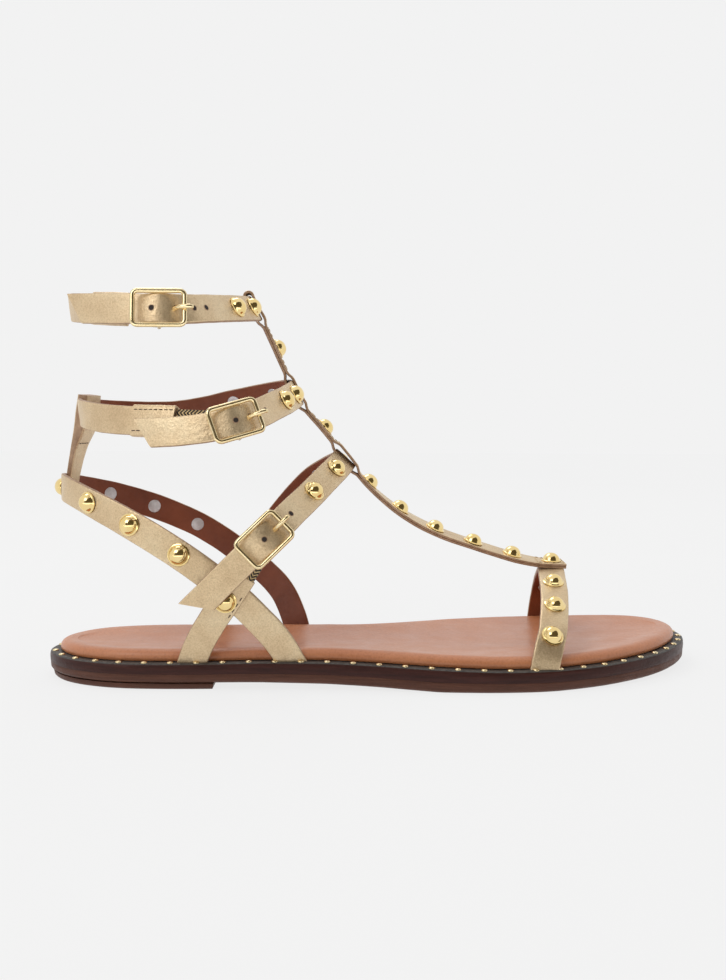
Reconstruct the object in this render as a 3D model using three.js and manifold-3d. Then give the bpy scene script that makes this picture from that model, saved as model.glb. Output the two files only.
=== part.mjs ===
// Gladiator sandal, right foot. Millimetres, +X to the toe, +Y to the inner side of the foot, +Z up.
import * as THREE from "three";
import Module from "manifold-3d";

const wasm = await Module();
wasm.setup();

// Driving sizes.
const STRAP_THICK = 1.8;
const STRAP_WIDTH = 10.2;
const TSTRAP_WIDTH = 10.8;
const TSTRAP_THICK = 2;
const STRAP_CHAMFER = 0.35;
const GAP = 0.3;
const WELT_INSET = 4.2;
const INSOLE_THICK = 4.2;
const INSOLE_CUP = 1.4;
const HEEL_LIFT = 2.5;
const HEEL_BREAST_X = -60;
const FORWARD = { length: 220, width: 200, height: 20 };
const TAIL_SLANT = 7.5;
const CUTTER = { depth: 20, length: 40, height: 8 };
const STUD_RADIUS = 4;
const STUD_HEIGHT = 3.4;
const STUD_LIFT = 0.4;
const STUD_SIDES = 8;
const FRAME_LENGTH = 19;
const FRAME_WIDTH = 13.4;
const FRAME_WIRE = 1.3;
const FRAME_THICK = 1.5;
const FRAME_CORNER = 2.6;
const FRAME_INNER_CORNER = 1.5;
const FRAME_OVERCUT = 2;
const POST_SINK = 0.2;
const FRAME_OFFSET = STRAP_THICK / 2 + GAP + FRAME_THICK / 2;
const BAR_OFFSET = -3.3;
const BAR_SIZE = 1.6;
const ELASTIC_THICK = 1.6;
const ELASTIC_WIDTH = 9.4;
const ELASTIC_CLEARANCE = 0.9;
const ELASTIC_PAST_BAR = 2.2;
const ELASTIC_CORE_DEPTH = 60;
const PRONG_WIDTH = 1.6;
const PRONG_THICK = 1.3;
const PRONG_PAST_FRAME = 0.7;
const SPAN_STEPS = 2;
const FINE_STEP = 0.05;
const SEAM_SHARE = 0.46;
const DISH_RUN_IN = 6;

// Sole outline, seen from above.
const HEEL_TIP = { x: -125, y: -13 };
const TOE_TIP = { x: 125, y: 14 };
const OUTLINE = [
  { x: -123, medial: -3.5, lateral: -22.5 },
  { x: -117, medial: 6, lateral: -31.8 },
  { x: -108, medial: 12.5, lateral: -38.8 },
  { x: -95, medial: 16.5, lateral: -43.7 },
  { x: -78, medial: 18, lateral: -45.4 },
  { x: -58, medial: 17, lateral: -45.3 },
  { x: -38, medial: 15.8, lateral: -45.4 },
  { x: -20, medial: 16.3, lateral: -45.9 },
  { x: -8, medial: 18.6, lateral: -46.7 },
  { x: 4, medial: 24.2, lateral: -48.2 },
  { x: 16, medial: 31.6, lateral: -49.7 },
  { x: 28, medial: 38.8, lateral: -50.8 },
  { x: 42, medial: 44.8, lateral: -51.1 },
  { x: 56, medial: 48, lateral: -49.8 },
  { x: 70, medial: 49.3, lateral: -46 },
  { x: 84, medial: 48.8, lateral: -40 },
  { x: 98, medial: 46.4, lateral: -31.2 },
  { x: 109, medial: 42, lateral: -21.3 },
  { x: 117.5, medial: 35, lateral: -9.6 },
  { x: 123, medial: 26, lateral: 2.5 },
];

// Height of the ground face of the outsole and of the welt's upper face along the foot.
const PROFILE = [
  { x: -126, ground: 2.5, welt: 9.3 },
  { x: -62, ground: 2.5, welt: 9.5 },
  { x: -45, ground: 2.6, welt: 9.9 },
  { x: -20, ground: 2.1, welt: 9.9 },
  { x: 0, ground: 1.2, welt: 9.2 },
  { x: 20, ground: 0, welt: 8.3 },
  { x: 40, ground: 0, welt: 7.7 },
  { x: 62, ground: 0, welt: 7.7 },
  { x: 80, ground: 0.4, welt: 8.0 },
  { x: 98, ground: 1.0, welt: 8.7 },
  { x: 112, ground: 1.7, welt: 9.4 },
  { x: 126, ground: 2.5, welt: 9.9 },
];

// Strap centre lines: place, and the layer thickness and width where they differ from the usual.
const TOE_STRAP = [
  { x: 72.4, y: 45.2, z: 6 },
  { x: 73.2, y: 45, z: 15 },
  { x: 74, y: 41.5, z: 24.5 },
  { x: 73.6, y: 32.5, z: 31.5 },
  { x: 72.2, y: 20, z: 35.6 },
  { x: 70, y: 7.4, z: 37.2 },
  { x: 68, y: -6, z: 35.4 },
  { x: 66.4, y: -18, z: 31.6 },
  { x: 64.4, y: -29, z: 26.8 },
  { x: 61.8, y: -39.5, z: 20.4 },
  { x: 59, y: -45.2, z: 13.5 },
  { x: 57, y: -46.8, z: 5 },
];
const T_STRAP = [
  { x: -51.6, y: -2.2, z: 146, thick: 4.4 },
  { x: -50.6, y: -2, z: 143.5, thick: 5 },
  { x: -48.8, y: -1.8, z: 139.8, thick: 5 },
  { x: -45.2, y: -1.2, z: 133.5, thick: 3.4 },
  { x: -40.8, y: 0, z: 124, thick: 2 },
  { x: -36.2, y: 0.6, z: 114, thick: 3 },
  { x: -33, y: 1, z: 107.3, thick: 5 },
  { x: -29.4, y: 1.4, z: 101.4, thick: 4 },
  { x: -22.2, y: 2.2, z: 93, thick: 2 },
  { x: -13, y: 3, z: 81.8, thick: 2.8 },
  { x: -4.4, y: 3.2, z: 71.3, thick: 2 },
  { x: 8, y: 4, z: 60.8, thick: 2 },
  { x: 22.4, y: 5.2, z: 52.8, thick: 2 },
  { x: 37.9, y: 6, z: 47.2, thick: 2 },
  { x: 53.9, y: 6.8, z: 42.2, thick: 2 },
  { x: 65, y: 7.2, z: 39.8, thick: 2 },
  { x: 75.2, y: 7.6, z: 39.2, thick: 2 },
];
const INSTEP_STRAP = [
  { x: -67.5, y: -52.6, z: 28.5 },
  { x: -61, y: -53.2, z: 35 },
  { x: -54.5, y: -53.7, z: 41.5 },
  { x: -48, y: -54, z: 48 },
  { x: -41.5, y: -53.4, z: 54.3 },
  { x: -35.8, y: -49.6, z: 59.8 },
  { x: -30.8, y: -41.5, z: 64.6 },
  { x: -26, y: -31.5, z: 68.9 },
  { x: -20.8, y: -20.5, z: 74 },
  { x: -15.8, y: -8.5, z: 78.8 },
  { x: -13.4, y: 3, z: 81.4 },
  { x: -14.6, y: 14, z: 80 },
  { x: -19.2, y: 24, z: 77.5 },
  { x: -26.4, y: 31.5, z: 72.8 },
  { x: -34, y: 36, z: 65 },
  { x: -41.4, y: 37.2, z: 56 },
  { x: -48, y: 36.4, z: 47.5 },
  { x: -54.5, y: 33.6, z: 40 },
  { x: -60, y: 29, z: 32 },
  { x: -64.5, y: 23, z: 23 },
  { x: -67.5, y: 17.2, z: 14.5 },
  { x: -68.8, y: 14, z: 6 },
];
const INSTEP_TAB = [
  { x: -69, y: -41.6, z: 6 },
  { x: -65.5, y: -43.8, z: 15.5 },
  { x: -60.2, y: -46.8, z: 25 },
  { x: -54, y: -48.2, z: 34.4 },
  { x: -49.5, y: -48.9, z: 41.5 },
];
const HEEL_STRAP = [
  { x: -31.4, y: 12.8, z: 6 },
  { x: -34, y: 16.4, z: 16 },
  { x: -39.6, y: 23.2, z: 26.4 },
  { x: -49.4, y: 29.4, z: 35.4 },
  { x: -61, y: 33, z: 43.8 },
  { x: -74, y: 33.6, z: 52 },
  { x: -87, y: 31, z: 58.2 },
  { x: -98, y: 26, z: 62.6 },
  { x: -109.5, y: 18, z: 66.4 },
  { x: -118.5, y: 9.5, z: 68.8 },
  { x: -122, y: 0.5, z: 70 },
  { x: -121.2, y: -9, z: 70.4 },
  { x: -117, y: -19, z: 69.6 },
  { x: -107.6, y: -29, z: 66.2 },
  { x: -94.6, y: -37.2, z: 60.6 },
  { x: -80, y: -42.6, z: 53 },
  { x: -66, y: -45.2, z: 44.2 },
  { x: -54, y: -45.8, z: 35 },
  { x: -44.6, y: -45.2, z: 26 },
  { x: -36.8, y: -43.4, z: 16.8 },
  { x: -30.6, y: -41.8, z: 6 },
];
const HEEL_TAB = [
  { x: -120, y: 0, z: 66, thick: 2, width: 7 },
  { x: -119.8, y: 0, z: 74, thick: 2, width: 8 },
  { x: -117.4, y: -0.4, z: 85, thick: 2.4, width: 10 },
  { x: -114.6, y: -1.4, z: 93.2, thick: 4.4, width: 12 },
  { x: -113.4, y: -2, z: 99.2, thick: 5, width: 12.6 },
  { x: -112.6, y: -2.4, z: 105.8, thick: 4.4, width: 12.6 },
];
const MID_STRAP = [
  { x: -87, y: -47.8, z: 90.9 },
  { x: -78, y: -51.6, z: 91.2 },
  { x: -69, y: -54.2, z: 91.8 },
  { x: -60.2, y: -55.2, z: 93 },
  { x: -51.6, y: -53.8, z: 95 },
  { x: -44, y: -48, z: 97.9 },
  { x: -39.6, y: -38, z: 100.6 },
  { x: -35.8, y: -26, z: 103.2 },
  { x: -33.2, y: -12, z: 105.7 },
  { x: -32.8, y: 1, z: 107.4 },
  { x: -36.2, y: 11.5, z: 108 },
  { x: -42.6, y: 18.8, z: 107.4 },
  { x: -51, y: 23.6, z: 106 },
  { x: -61, y: 26, z: 104 },
  { x: -72, y: 27, z: 101.4 },
  { x: -83, y: 25.8, z: 99.6 },
  { x: -93, y: 22, z: 99 },
  { x: -102, y: 16.2, z: 99 },
  { x: -109.4, y: 9, z: 99.2 },
  { x: -113.2, y: 1, z: 99.4 },
  { x: -114.2, y: -7, z: 99.2 },
  { x: -112.6, y: -16, z: 98.6 },
  { x: -108.4, y: -24.8, z: 97.6 },
  { x: -101.4, y: -32.4, z: 96.4 },
  { x: -92.4, y: -38.4, z: 95.6 },
  { x: -82.4, y: -42.8, z: 95.2 },
  { x: -73, y: -46.6, z: 95 },
];
const TOP_STRAP = [
  { x: -109.8, y: -45, z: 134 },
  { x: -103, y: -49.6, z: 133.6 },
  { x: -95, y: -54, z: 133.1 },
  { x: -86.2, y: -58.4, z: 132.6 },
  { x: -76, y: -60.8, z: 132.2 },
  { x: -67, y: -57, z: 132.8 },
  { x: -60.8, y: -48.6, z: 134 },
  { x: -55.6, y: -37.4, z: 135.4 },
  { x: -51.4, y: -25, z: 136.9 },
  { x: -49, y: -12, z: 138.4 },
  { x: -48.8, y: 0, z: 139.8 },
  { x: -50.6, y: 12, z: 141.3 },
  { x: -55.6, y: 22.6, z: 142.7 },
  { x: -63.6, y: 31.2, z: 143.7 },
  { x: -73, y: 36, z: 144.3 },
  { x: -83, y: 37.4, z: 144.4 },
  { x: -93, y: 34.8, z: 144 },
  { x: -102, y: 29, z: 143.2 },
  { x: -109.6, y: 21, z: 142.2 },
  { x: -115, y: 11, z: 141 },
  { x: -117.2, y: 0, z: 139.8 },
  { x: -116.8, y: -11, z: 138.4 },
  { x: -113.8, y: -22.6, z: 137 },
  { x: -108.4, y: -33, z: 135.7 },
  { x: -101.4, y: -41.6, z: 134.6 },
  { x: -94.4, y: -47.4, z: 133.8 },
  { x: -88, y: -51.2, z: 133.2 },
];

// The line each strap is wrapped round; its outer face looks away from it.
const around = {
  foot: (p) => new THREE.Vector3(p.x, 0, 4),
  shin: (p) => new THREE.Vector3(-85, -8, p.z - 7 - 0.36 * (p.x + 85)),
  ankle: (p) => new THREE.Vector3(-80, -8, p.z - 8 - 0.35 * (p.x + 80)),
  arch: () => new THREE.Vector3(-62, -2, 28),
  heel: (p) => new THREE.Vector3(Math.max(p.x, -84), -8, p.z),
  ridge: (p) => new THREE.Vector3(p.x - 60 + 0.3 * Math.min(p.x, 0), p.y, p.z - 60 - 1.2 * Math.max(p.x, 0)),
};

const STRAPS = {
  toe_strap: { rows: TOE_STRAP, core: around.foot, thick: STRAP_THICK, width: STRAP_WIDTH },
  t_strap: { rows: T_STRAP, core: around.ridge, thick: TSTRAP_THICK, width: TSTRAP_WIDTH },
  instep_strap: { rows: INSTEP_STRAP, core: around.arch, thick: STRAP_THICK, width: STRAP_WIDTH },
  instep_tab: { rows: INSTEP_TAB, core: around.arch, thick: STRAP_THICK, width: STRAP_WIDTH },
  heel_strap: { rows: HEEL_STRAP, core: around.heel, thick: STRAP_THICK, width: STRAP_WIDTH },
  heel_tab: { rows: HEEL_TAB, core: around.shin, thick: STRAP_THICK, width: STRAP_WIDTH },
  mid_strap: { rows: MID_STRAP, core: around.ankle, thick: STRAP_THICK, width: STRAP_WIDTH },
  top_strap: { rows: TOP_STRAP, core: around.shin, thick: STRAP_THICK, width: STRAP_WIDTH },
};

// Where the studs sit, each on the nearest point of its strap.
const STUDS = [
  { on: "t_strap", x: -40.8, y: 0, z: 124 },
  { on: "t_strap", x: -22.2, y: 2.2, z: 93 },
  { on: "t_strap", x: -4.4, y: 3.2, z: 71.3 },
  { on: "t_strap", x: 7.8, y: 4, z: 60.4 },
  { on: "t_strap", x: 22.2, y: 5.2, z: 52.4 },
  { on: "t_strap", x: 37.8, y: 6, z: 46.8 },
  { on: "t_strap", x: 53.8, y: 6.8, z: 41.8 },
  { on: "t_strap", x: 70.2, y: 7.4, z: 39 },
  { on: "toe_strap", x: 74.2, y: 40.5, z: 25.5 },
  { on: "toe_strap", x: 73.4, y: 25.5, z: 34 },
  { on: "toe_strap", x: 67.6, y: -12.6, z: 33 },
  { on: "toe_strap", x: 65, y: -28.3, z: 27 },
  { on: "toe_strap", x: 61.6, y: -42, z: 18.4 },
  { on: "top_strap", x: -49.2, y: -14, z: 138 },
  { on: "top_strap", x: -53.6, y: -31.5, z: 136 },
  { on: "top_strap", x: -53.6, y: 19, z: 142.2 },
  { on: "top_strap", x: -68, y: 33.6, z: 144 },
  { on: "mid_strap", x: -35.2, y: -12, z: 105.7 },
  { on: "mid_strap", x: -37.6, y: -26.6, z: 103 },
  { on: "mid_strap", x: -43, y: 17.6, z: 107.8 },
  { on: "mid_strap", x: -59.6, y: 25.6, z: 105.2 },
  { on: "instep_strap", x: -17.4, y: -12.4, z: 77.4 },
  { on: "instep_strap", x: -25.4, y: -30, z: 69.6 },
  { on: "instep_strap", x: -15.8, y: 17, z: 79.4 },
  { on: "instep_strap", x: -24.2, y: 29.3, z: 74.2 },
  { on: "instep_strap", x: -54.5, y: 33.6, z: 40 },
  { on: "instep_tab", x: -55.4, y: -48, z: 32.4 },
  { on: "heel_strap", x: -106.5, y: -30, z: 65.6 },
  { on: "heel_strap", x: -90, y: -39.4, z: 58.2 },
  { on: "heel_strap", x: -72, y: -44.4, z: 48 },
  { on: "heel_strap", x: -122, y: -2, z: 70 },
  { on: "heel_strap", x: -109.5, y: 18, z: 66.6 },
  { on: "heel_strap", x: -93, y: 28.5, z: 61.4 },
  { on: "heel_strap", x: -75, y: 33.6, z: 54 },
];

const GOLD = { color: 0xd8b46a, roughness: 0.2, metalness: 1 };
const GOLD_LEATHER = { color: 0xcbb083, roughness: 0.45, metalness: 0.5 };
const TAN_LEATHER = { color: 0xb5673f, roughness: 0.5, metalness: 0 };
const WELT_BROWN = { color: 0x3a2623, roughness: 0.55, metalness: 0 };
const STACK_BROWN = { color: 0x5a3627, roughness: 0.5, metalness: 0 };
const ELASTIC_DARK = { color: 0x4a4034, roughness: 0.8, metalness: 0 };

const mix = (a, b, t) => a + (b - a) * t;

function curveThrough(a, b, c, d, t) {
  const linear = (c - a) * t;
  const square = (2 * a - 5 * b + 4 * c - d) * t * t;
  const cube = (3 * b - a - 3 * c + d) * t * t * t;
  return 0.5 * (2 * b + linear + square + cube);
}

function alongRows(rows, key, spot, fallback) {
  const value = (i) => {
    const inside = Math.min(Math.max(i, 0), rows.length - 1);
    return rows[inside][key] ?? fallback;
  };
  const i = Math.min(Math.floor(spot), rows.length - 2);
  const before = i === 0 ? 2 * value(0) - value(1) : value(i - 1);
  const after = i + 2 > rows.length - 1 ? 2 * value(i + 1) - value(i) : value(i + 2);
  return curveThrough(before, value(i), value(i + 1), after, spot - i);
}

function profileAt(x, key) {
  let i = 0;
  while (i < PROFILE.length - 2 && PROFILE[i + 1].x < x) i += 1;
  const t = (x - PROFILE[i].x) / (PROFILE[i + 1].x - PROFILE[i].x);
  return mix(PROFILE[i][key], PROFILE[i + 1][key], Math.min(Math.max(t, 0), 1));
}

// Place, run, width direction and outward direction of a strap at one spot along its rows.
function strapFrame(strap, spot) {
  const at = (s) => new THREE.Vector3(
    alongRows(strap.rows, "x", s),
    alongRows(strap.rows, "y", s),
    alongRows(strap.rows, "z", s),
  );
  const last = strap.rows.length - 1;
  const place = at(spot);
  const run = at(Math.min(spot + FINE_STEP, last)).sub(at(Math.max(spot - FINE_STEP, 0))).normalize();
  const out = place.clone().sub(strap.core(place));
  out.addScaledVector(run, -out.dot(run)).normalize();
  const wide = new THREE.Vector3().crossVectors(run, out).normalize();
  const thick = alongRows(strap.rows, "thick", spot, strap.thick);
  const width = alongRows(strap.rows, "width", spot, strap.width);
  return { place, run, wide, out, thick, width };
}

function solidFrom(points, faces) {
  const flat = new Float32Array(points.flatMap((p) => [p.x, p.y, p.z]));
  const make = (list) => {
    const mesh = new wasm.Mesh({ numProp: 3, vertProperties: flat, triVerts: new Uint32Array(list.flat()) });
    return new wasm.Manifold(mesh);
  };
  const solid = make(faces);
  return solid.volume() < 0 ? make(faces.map(([a, b, c]) => [a, c, b])) : solid;
}

// Skin over equal rings of points, with a fan on each end.
function loft(rings) {
  const count = rings[0].length;
  const faces = [];
  for (let r = 0; r < rings.length - 1; r += 1) {
    for (let k = 0; k < count; k += 1) {
      const next = (k + 1) % count;
      const here = r * count;
      const there = here + count;
      faces.push([here + k, here + next, there + next], [here + k, there + next, there + k]);
    }
  }
  const end = (rings.length - 1) * count;
  for (let k = 1; k < count - 1; k += 1) {
    faces.push([0, k + 1, k], [end, end + k, end + k + 1]);
  }
  return solidFrom(rings.flat(), faces);
}

function strapRing(frame, grow) {
  const halfWide = frame.width / 2 + grow;
  const halfThick = frame.thick / 2 + grow;
  const corner = STRAP_CHAMFER;
  const corners8 = [
    [halfWide - corner, halfThick], [halfWide, halfThick - corner],
    [halfWide, corner - halfThick], [halfWide - corner, -halfThick],
    [corner - halfWide, -halfThick], [-halfWide, corner - halfThick],
    [-halfWide, halfThick - corner], [corner - halfWide, halfThick],
  ];
  return corners8.map(([across, up]) => frame.place.clone()
    .addScaledVector(frame.wide, across)
    .addScaledVector(frame.out, up));
}

function strapSolid(strap, grow = 0) {
  const rings = [];
  const steps = (strap.rows.length - 1) * SPAN_STEPS;
  for (let i = 0; i <= steps; i += 1) {
    const frame = strapFrame(strap, i / SPAN_STEPS);
    if (i === 0) frame.place.addScaledVector(frame.run, -grow);
    if (i === steps) frame.place.addScaledVector(frame.run, grow);
    rings.push(strapRing(frame, grow));
  }
  return loft(rings);
}

// Block that cuts a strap's free end on the slant; the upper edge is left TAIL_SLANT longer than the lower.
function tailCut(strap) {
  const frame = strapFrame(strap, 0);
  const lean = TAIL_SLANT / strap.width;
  const face = frame.run.clone().negate().addScaledVector(frame.wide, lean).normalize();
  const slope = new THREE.Vector3().crossVectors(frame.out, face).normalize();
  const middle = frame.place.clone()
    .addScaledVector(frame.run, TAIL_SLANT / 2)
    .addScaledVector(face, CUTTER.depth / 2);
  return prism(boxLoop(CUTTER.depth, CUTTER.length), middle, face, slope, frame.out, CUTTER.height);
}

// Straight bar with the same section all along; loop holds [across, up] pairs.
function prism(loop, origin, across, up, along, length) {
  const ring = (shift) => loop.map(([a, u]) => origin.clone()
    .addScaledVector(across, a).addScaledVector(up, u).addScaledVector(along, shift));
  return loft([ring(-length / 2), ring(length / 2)]);
}

function roundedLoop(length, width, radius) {
  const loop = [];
  const corners = [[1, 1, 0], [-1, 1, 90], [-1, -1, 180], [1, -1, 270]];
  for (const [sx, sy, start] of corners) {
    for (const step of [0, 45, 90]) {
      const turn = THREE.MathUtils.degToRad(start + step);
      loop.push([
        sx * (length / 2 - radius) + radius * Math.cos(turn),
        sy * (width / 2 - radius) + radius * Math.sin(turn),
      ]);
    }
  }
  return loop;
}

const boxLoop = (a, b) => [[a / 2, b / 2], [-a / 2, b / 2], [-a / 2, -b / 2], [a / 2, -b / 2]];

// Each buckle sits on the outer strap at a spot along its rows and is tied to the inner one.
const BUCKLES = {
  top: { outer: "top_strap", spot: 4, inner: "top_strap" },
  mid: { outer: "mid_strap", spot: 4, inner: "mid_strap" },
  instep: { outer: "instep_strap", spot: 4, inner: "instep_tab" },
};

function prongSolid(frame, grow = 0) {
  const from = frame.place.clone().addScaledVector(frame.out, BAR_OFFSET);
  const to = frame.place.clone()
    .addScaledVector(frame.run, FRAME_LENGTH / 2 + PRONG_PAST_FRAME)
    .addScaledVector(frame.out, FRAME_OFFSET + FRAME_THICK / 2 + PRONG_THICK / 2);
  const along = to.clone().sub(from);
  const length = along.length() + 2 * grow;
  along.normalize();
  const up = new THREE.Vector3().crossVectors(along, frame.wide).normalize();
  const middle = from.clone().add(to).multiplyScalar(0.5);
  const loop = boxLoop(PRONG_WIDTH + 2 * grow, PRONG_THICK + 2 * grow);
  return prism(loop, middle, frame.wide, up, along, length);
}

function barSolid(frame) {
  const origin = frame.place.clone().addScaledVector(frame.out, BAR_OFFSET);
  return prism(boxLoop(BAR_SIZE, BAR_SIZE), origin, frame.run, frame.out, frame.wide, FRAME_WIDTH);
}

function buckleSolid(frame) {
  const level = frame.place.clone().addScaledVector(frame.out, FRAME_OFFSET);
  const plate = (loop, thick) => prism(loop, level, frame.run, frame.wide, frame.out, thick);
  const outer = plate(roundedLoop(FRAME_LENGTH, FRAME_WIDTH, FRAME_CORNER), FRAME_THICK);
  const hole = [FRAME_LENGTH - 2 * FRAME_WIRE, FRAME_WIDTH - 2 * FRAME_WIRE, FRAME_INNER_CORNER];
  const inner = plate(roundedLoop(...hole), FRAME_THICK + FRAME_OVERCUT);
  let solid = outer.subtract(inner).add(barSolid(frame)).add(prongSolid(frame));
  for (const side of [-1, 1]) {
    const top = FRAME_OFFSET + FRAME_THICK / 2 - POST_SINK;
    const foot = BAR_OFFSET - BAR_SIZE / 2;
    const origin = frame.place.clone()
      .addScaledVector(frame.wide, side * (FRAME_WIDTH / 2 - FRAME_WIRE / 2))
      .addScaledVector(frame.out, (top + foot) / 2);
    const section = boxLoop(FRAME_THICK, FRAME_WIRE);
    solid = solid.add(prism(section, origin, frame.run, frame.wide, frame.out, top - foot));
  }
  return solid;
}

// Short elastic from the strap's inner end to its place behind the buckle's bar.
function elasticSolid(buckle, frame) {
  const innerStrap = STRAPS[buckle.inner];
  const end = strapFrame(innerStrap, innerStrap.rows.length - 1);
  const behindBar = BAR_OFFSET - BAR_SIZE / 2 - GAP - ELASTIC_THICK / 2;
  const start = end.place.clone().addScaledVector(end.run, ELASTIC_CLEARANCE);
  const bar = frame.place.clone().addScaledVector(frame.out, behindBar);
  const back = bar.clone().addScaledVector(frame.run, -ELASTIC_PAST_BAR);
  const front = bar.clone().addScaledVector(frame.run, ELASTIC_PAST_BAR);
  const strap = {
    rows: [start, start.clone().lerp(back, 0.5), back, front],
    core: () => frame.place.clone().addScaledVector(frame.out, -ELASTIC_CORE_DEPTH),
    thick: ELASTIC_THICK,
    width: ELASTIC_WIDTH,
  };
  return strapSolid(strap);
}

// Sole outline as a closed ring: heel tip, inner side, toe tip, outer side.
function outlineRing(inset) {
  const knots = [HEEL_TIP, ...OUTLINE.map((r) => ({ x: r.x, y: r.medial })), TOE_TIP];
  const back = [...OUTLINE].reverse().map((r) => ({ x: r.x, y: r.lateral }));
  const loop = [...knots, ...back];
  const count = loop.length;
  const points = [];
  for (let i = 0; i < count; i += 1) {
    const [a, b, c, d] = [i - 1, i, i + 1, i + 2].map((k) => loop[(k + count) % count]);
    for (const t of [0, 0.5]) {
      points.push({ x: curveThrough(a.x, b.x, c.x, d.x, t), y: curveThrough(a.y, b.y, c.y, d.y, t) });
    }
  }
  return points.map((p, i) => {
    const before = points[(i - 1 + points.length) % points.length];
    const after = points[(i + 1) % points.length];
    const run = Math.hypot(after.x - before.x, after.y - before.y);
    return {
      x: p.x + (after.y - before.y) / run * inset,
      y: p.y - (after.x - before.x) / run * inset,
    };
  });
}

// Sole layer: stacked rings of { inset, height(x) }, closed below and above across the foot.
function layerSolid(stack, across, dish) {
  const points = [];
  const faces = [];
  const rings = stack.map((ring) => outlineRing(ring.inset).map((p) => {
    points.push(new THREE.Vector3(p.x, p.y, ring.height(p.x)));
    return points.length - 1;
  }));
  const count = rings[0].length;
  for (let r = 0; r < rings.length - 1; r += 1) {
    for (let k = 0; k < count; k += 1) {
      const next = (k + 1) % count;
      faces.push([rings[r][k], rings[r + 1][k], rings[r + 1][next]]);
      faces.push([rings[r][k], rings[r + 1][next], rings[r][next]]);
    }
  }
  const cap = (ring, sink, flip) => {
    const half = count / 2;
    const rows = [];
    for (let k = 1; k < half; k += 1) {
      const inner = points[ring[k]];
      const outer = points[ring[count - k]];
      const row = [ring[k]];
      for (let s = 1; s < across; s += 1) {
        const t = s / across;
        const point = inner.clone().lerp(outer, t);
        point.z -= sink * 4 * t * (1 - t) * Math.min(1, k / DISH_RUN_IN, (half - k) / DISH_RUN_IN);
        points.push(point);
        row.push(points.length - 1);
      }
      row.push(ring[count - k]);
      rows.push(row);
    }
    const add = (a, b, c) => faces.push(flip ? [a, c, b] : [a, b, c]);
    for (let s = 0; s < across; s += 1) {
      add(ring[0], rows[0][s], rows[0][s + 1]);
      add(ring[half], rows[rows.length - 1][s + 1], rows[rows.length - 1][s]);
      for (let k = 0; k < rows.length - 1; k += 1) {
        add(rows[k][s], rows[k + 1][s], rows[k + 1][s + 1]);
        add(rows[k][s], rows[k + 1][s + 1], rows[k][s + 1]);
      }
    }
  };
  cap(rings[0], 0, false);
  cap(rings[rings.length - 1], dish, true);
  return solidFrom(points, faces);
}

const ground = (x) => profileAt(x, "ground");
const welt = (x) => profileAt(x, "welt");
const seam = (x) => mix(ground(x), welt(x), SEAM_SHARE);

// Everything in front of the heel's breast.
function forwardOfHeel() {
  const origin = new THREE.Vector3(HEEL_BREAST_X + FORWARD.length / 2, 0, 0);
  const [x, y, z] = [0, 1, 2].map((axis) => new THREE.Vector3().setComponent(axis, 1));
  return prism(boxLoop(FORWARD.length, FORWARD.height), origin, x, z, y, FORWARD.width);
}

const outsole = layerSolid([
  { inset: 1.6, height: ground },
  { inset: 0.5, height: (x) => ground(x) + 0.7 },
  { inset: 0.2, height: (x) => seam(x) - GAP / 2 },
], 1, 0);
const heelLift = layerSolid([
  { inset: 2.2, height: () => 0 },
  { inset: 1.5, height: () => 0.6 },
  { inset: 1.2, height: () => HEEL_LIFT - GAP },
], 1, 0).subtract(forwardOfHeel());
const midsole = layerSolid([
  { inset: 0, height: (x) => seam(x) + GAP / 2 },
  { inset: 0, height: (x) => welt(x) - 0.4 },
  { inset: 0.4, height: welt },
], 1, 0);
const insoleBlank = layerSolid([
  { inset: WELT_INSET, height: (x) => welt(x) + GAP },
  { inset: WELT_INSET - 0.3, height: (x) => welt(x) + 1.4 },
  { inset: WELT_INSET + 0.5, height: (x) => welt(x) + INSOLE_THICK - 0.5 },
  { inset: WELT_INSET + 2, height: (x) => welt(x) + INSOLE_THICK },
], 2, INSOLE_CUP);

const strapRoom = Object.fromEntries(Object.entries(STRAPS)
  .map(([name, strap]) => [name, strapSolid(strap, GAP)]));
const soleRoom = layerSolid([
  { inset: -4, height: () => -2 },
  { inset: -4, height: (x) => welt(x) + GAP },
], 1, 0);
const frames = Object.fromEntries(Object.entries(BUCKLES)
  .map(([name, buckle]) => [name, strapFrame(STRAPS[buckle.outer], buckle.spot)]));
const prongRoom = Object.fromEntries(Object.entries(frames)
  .map(([name, frame]) => [name, prongSolid(frame, GAP)]));

const instepBand = strapSolid(STRAPS.instep_strap).subtract(tailCut(STRAPS.instep_strap));
const upper = ["toe_strap", "instep_tab", "heel_strap", "heel_tab"]
  .reduce((solid, name) => solid.add(strapSolid(STRAPS[name])), strapSolid(STRAPS.t_strap))
  .add(instepBand)
  .subtract(strapRoom.top_strap)
  .subtract(strapRoom.mid_strap)
  .subtract(soleRoom)
  .subtract(prongRoom.instep);
const insole = insoleBlank
  .subtract(strapRoom.toe_strap)
  .subtract(strapRoom.instep_strap)
  .subtract(strapRoom.instep_tab)
  .subtract(strapRoom.heel_strap);

function ankleBand(name) {
  const strap = STRAPS[BUCKLES[name].outer];
  return strapSolid(strap).subtract(prongRoom[name]).subtract(tailCut(strap));
}

function nearestSpot(strap, target) {
  let best = { spot: 0, far: Infinity };
  for (let spot = 0; spot <= strap.rows.length - 1; spot += FINE_STEP) {
    const far = strapFrame(strap, spot).place.distanceTo(target);
    if (far < best.far) best = { spot, far };
  }
  return best.spot;
}

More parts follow.
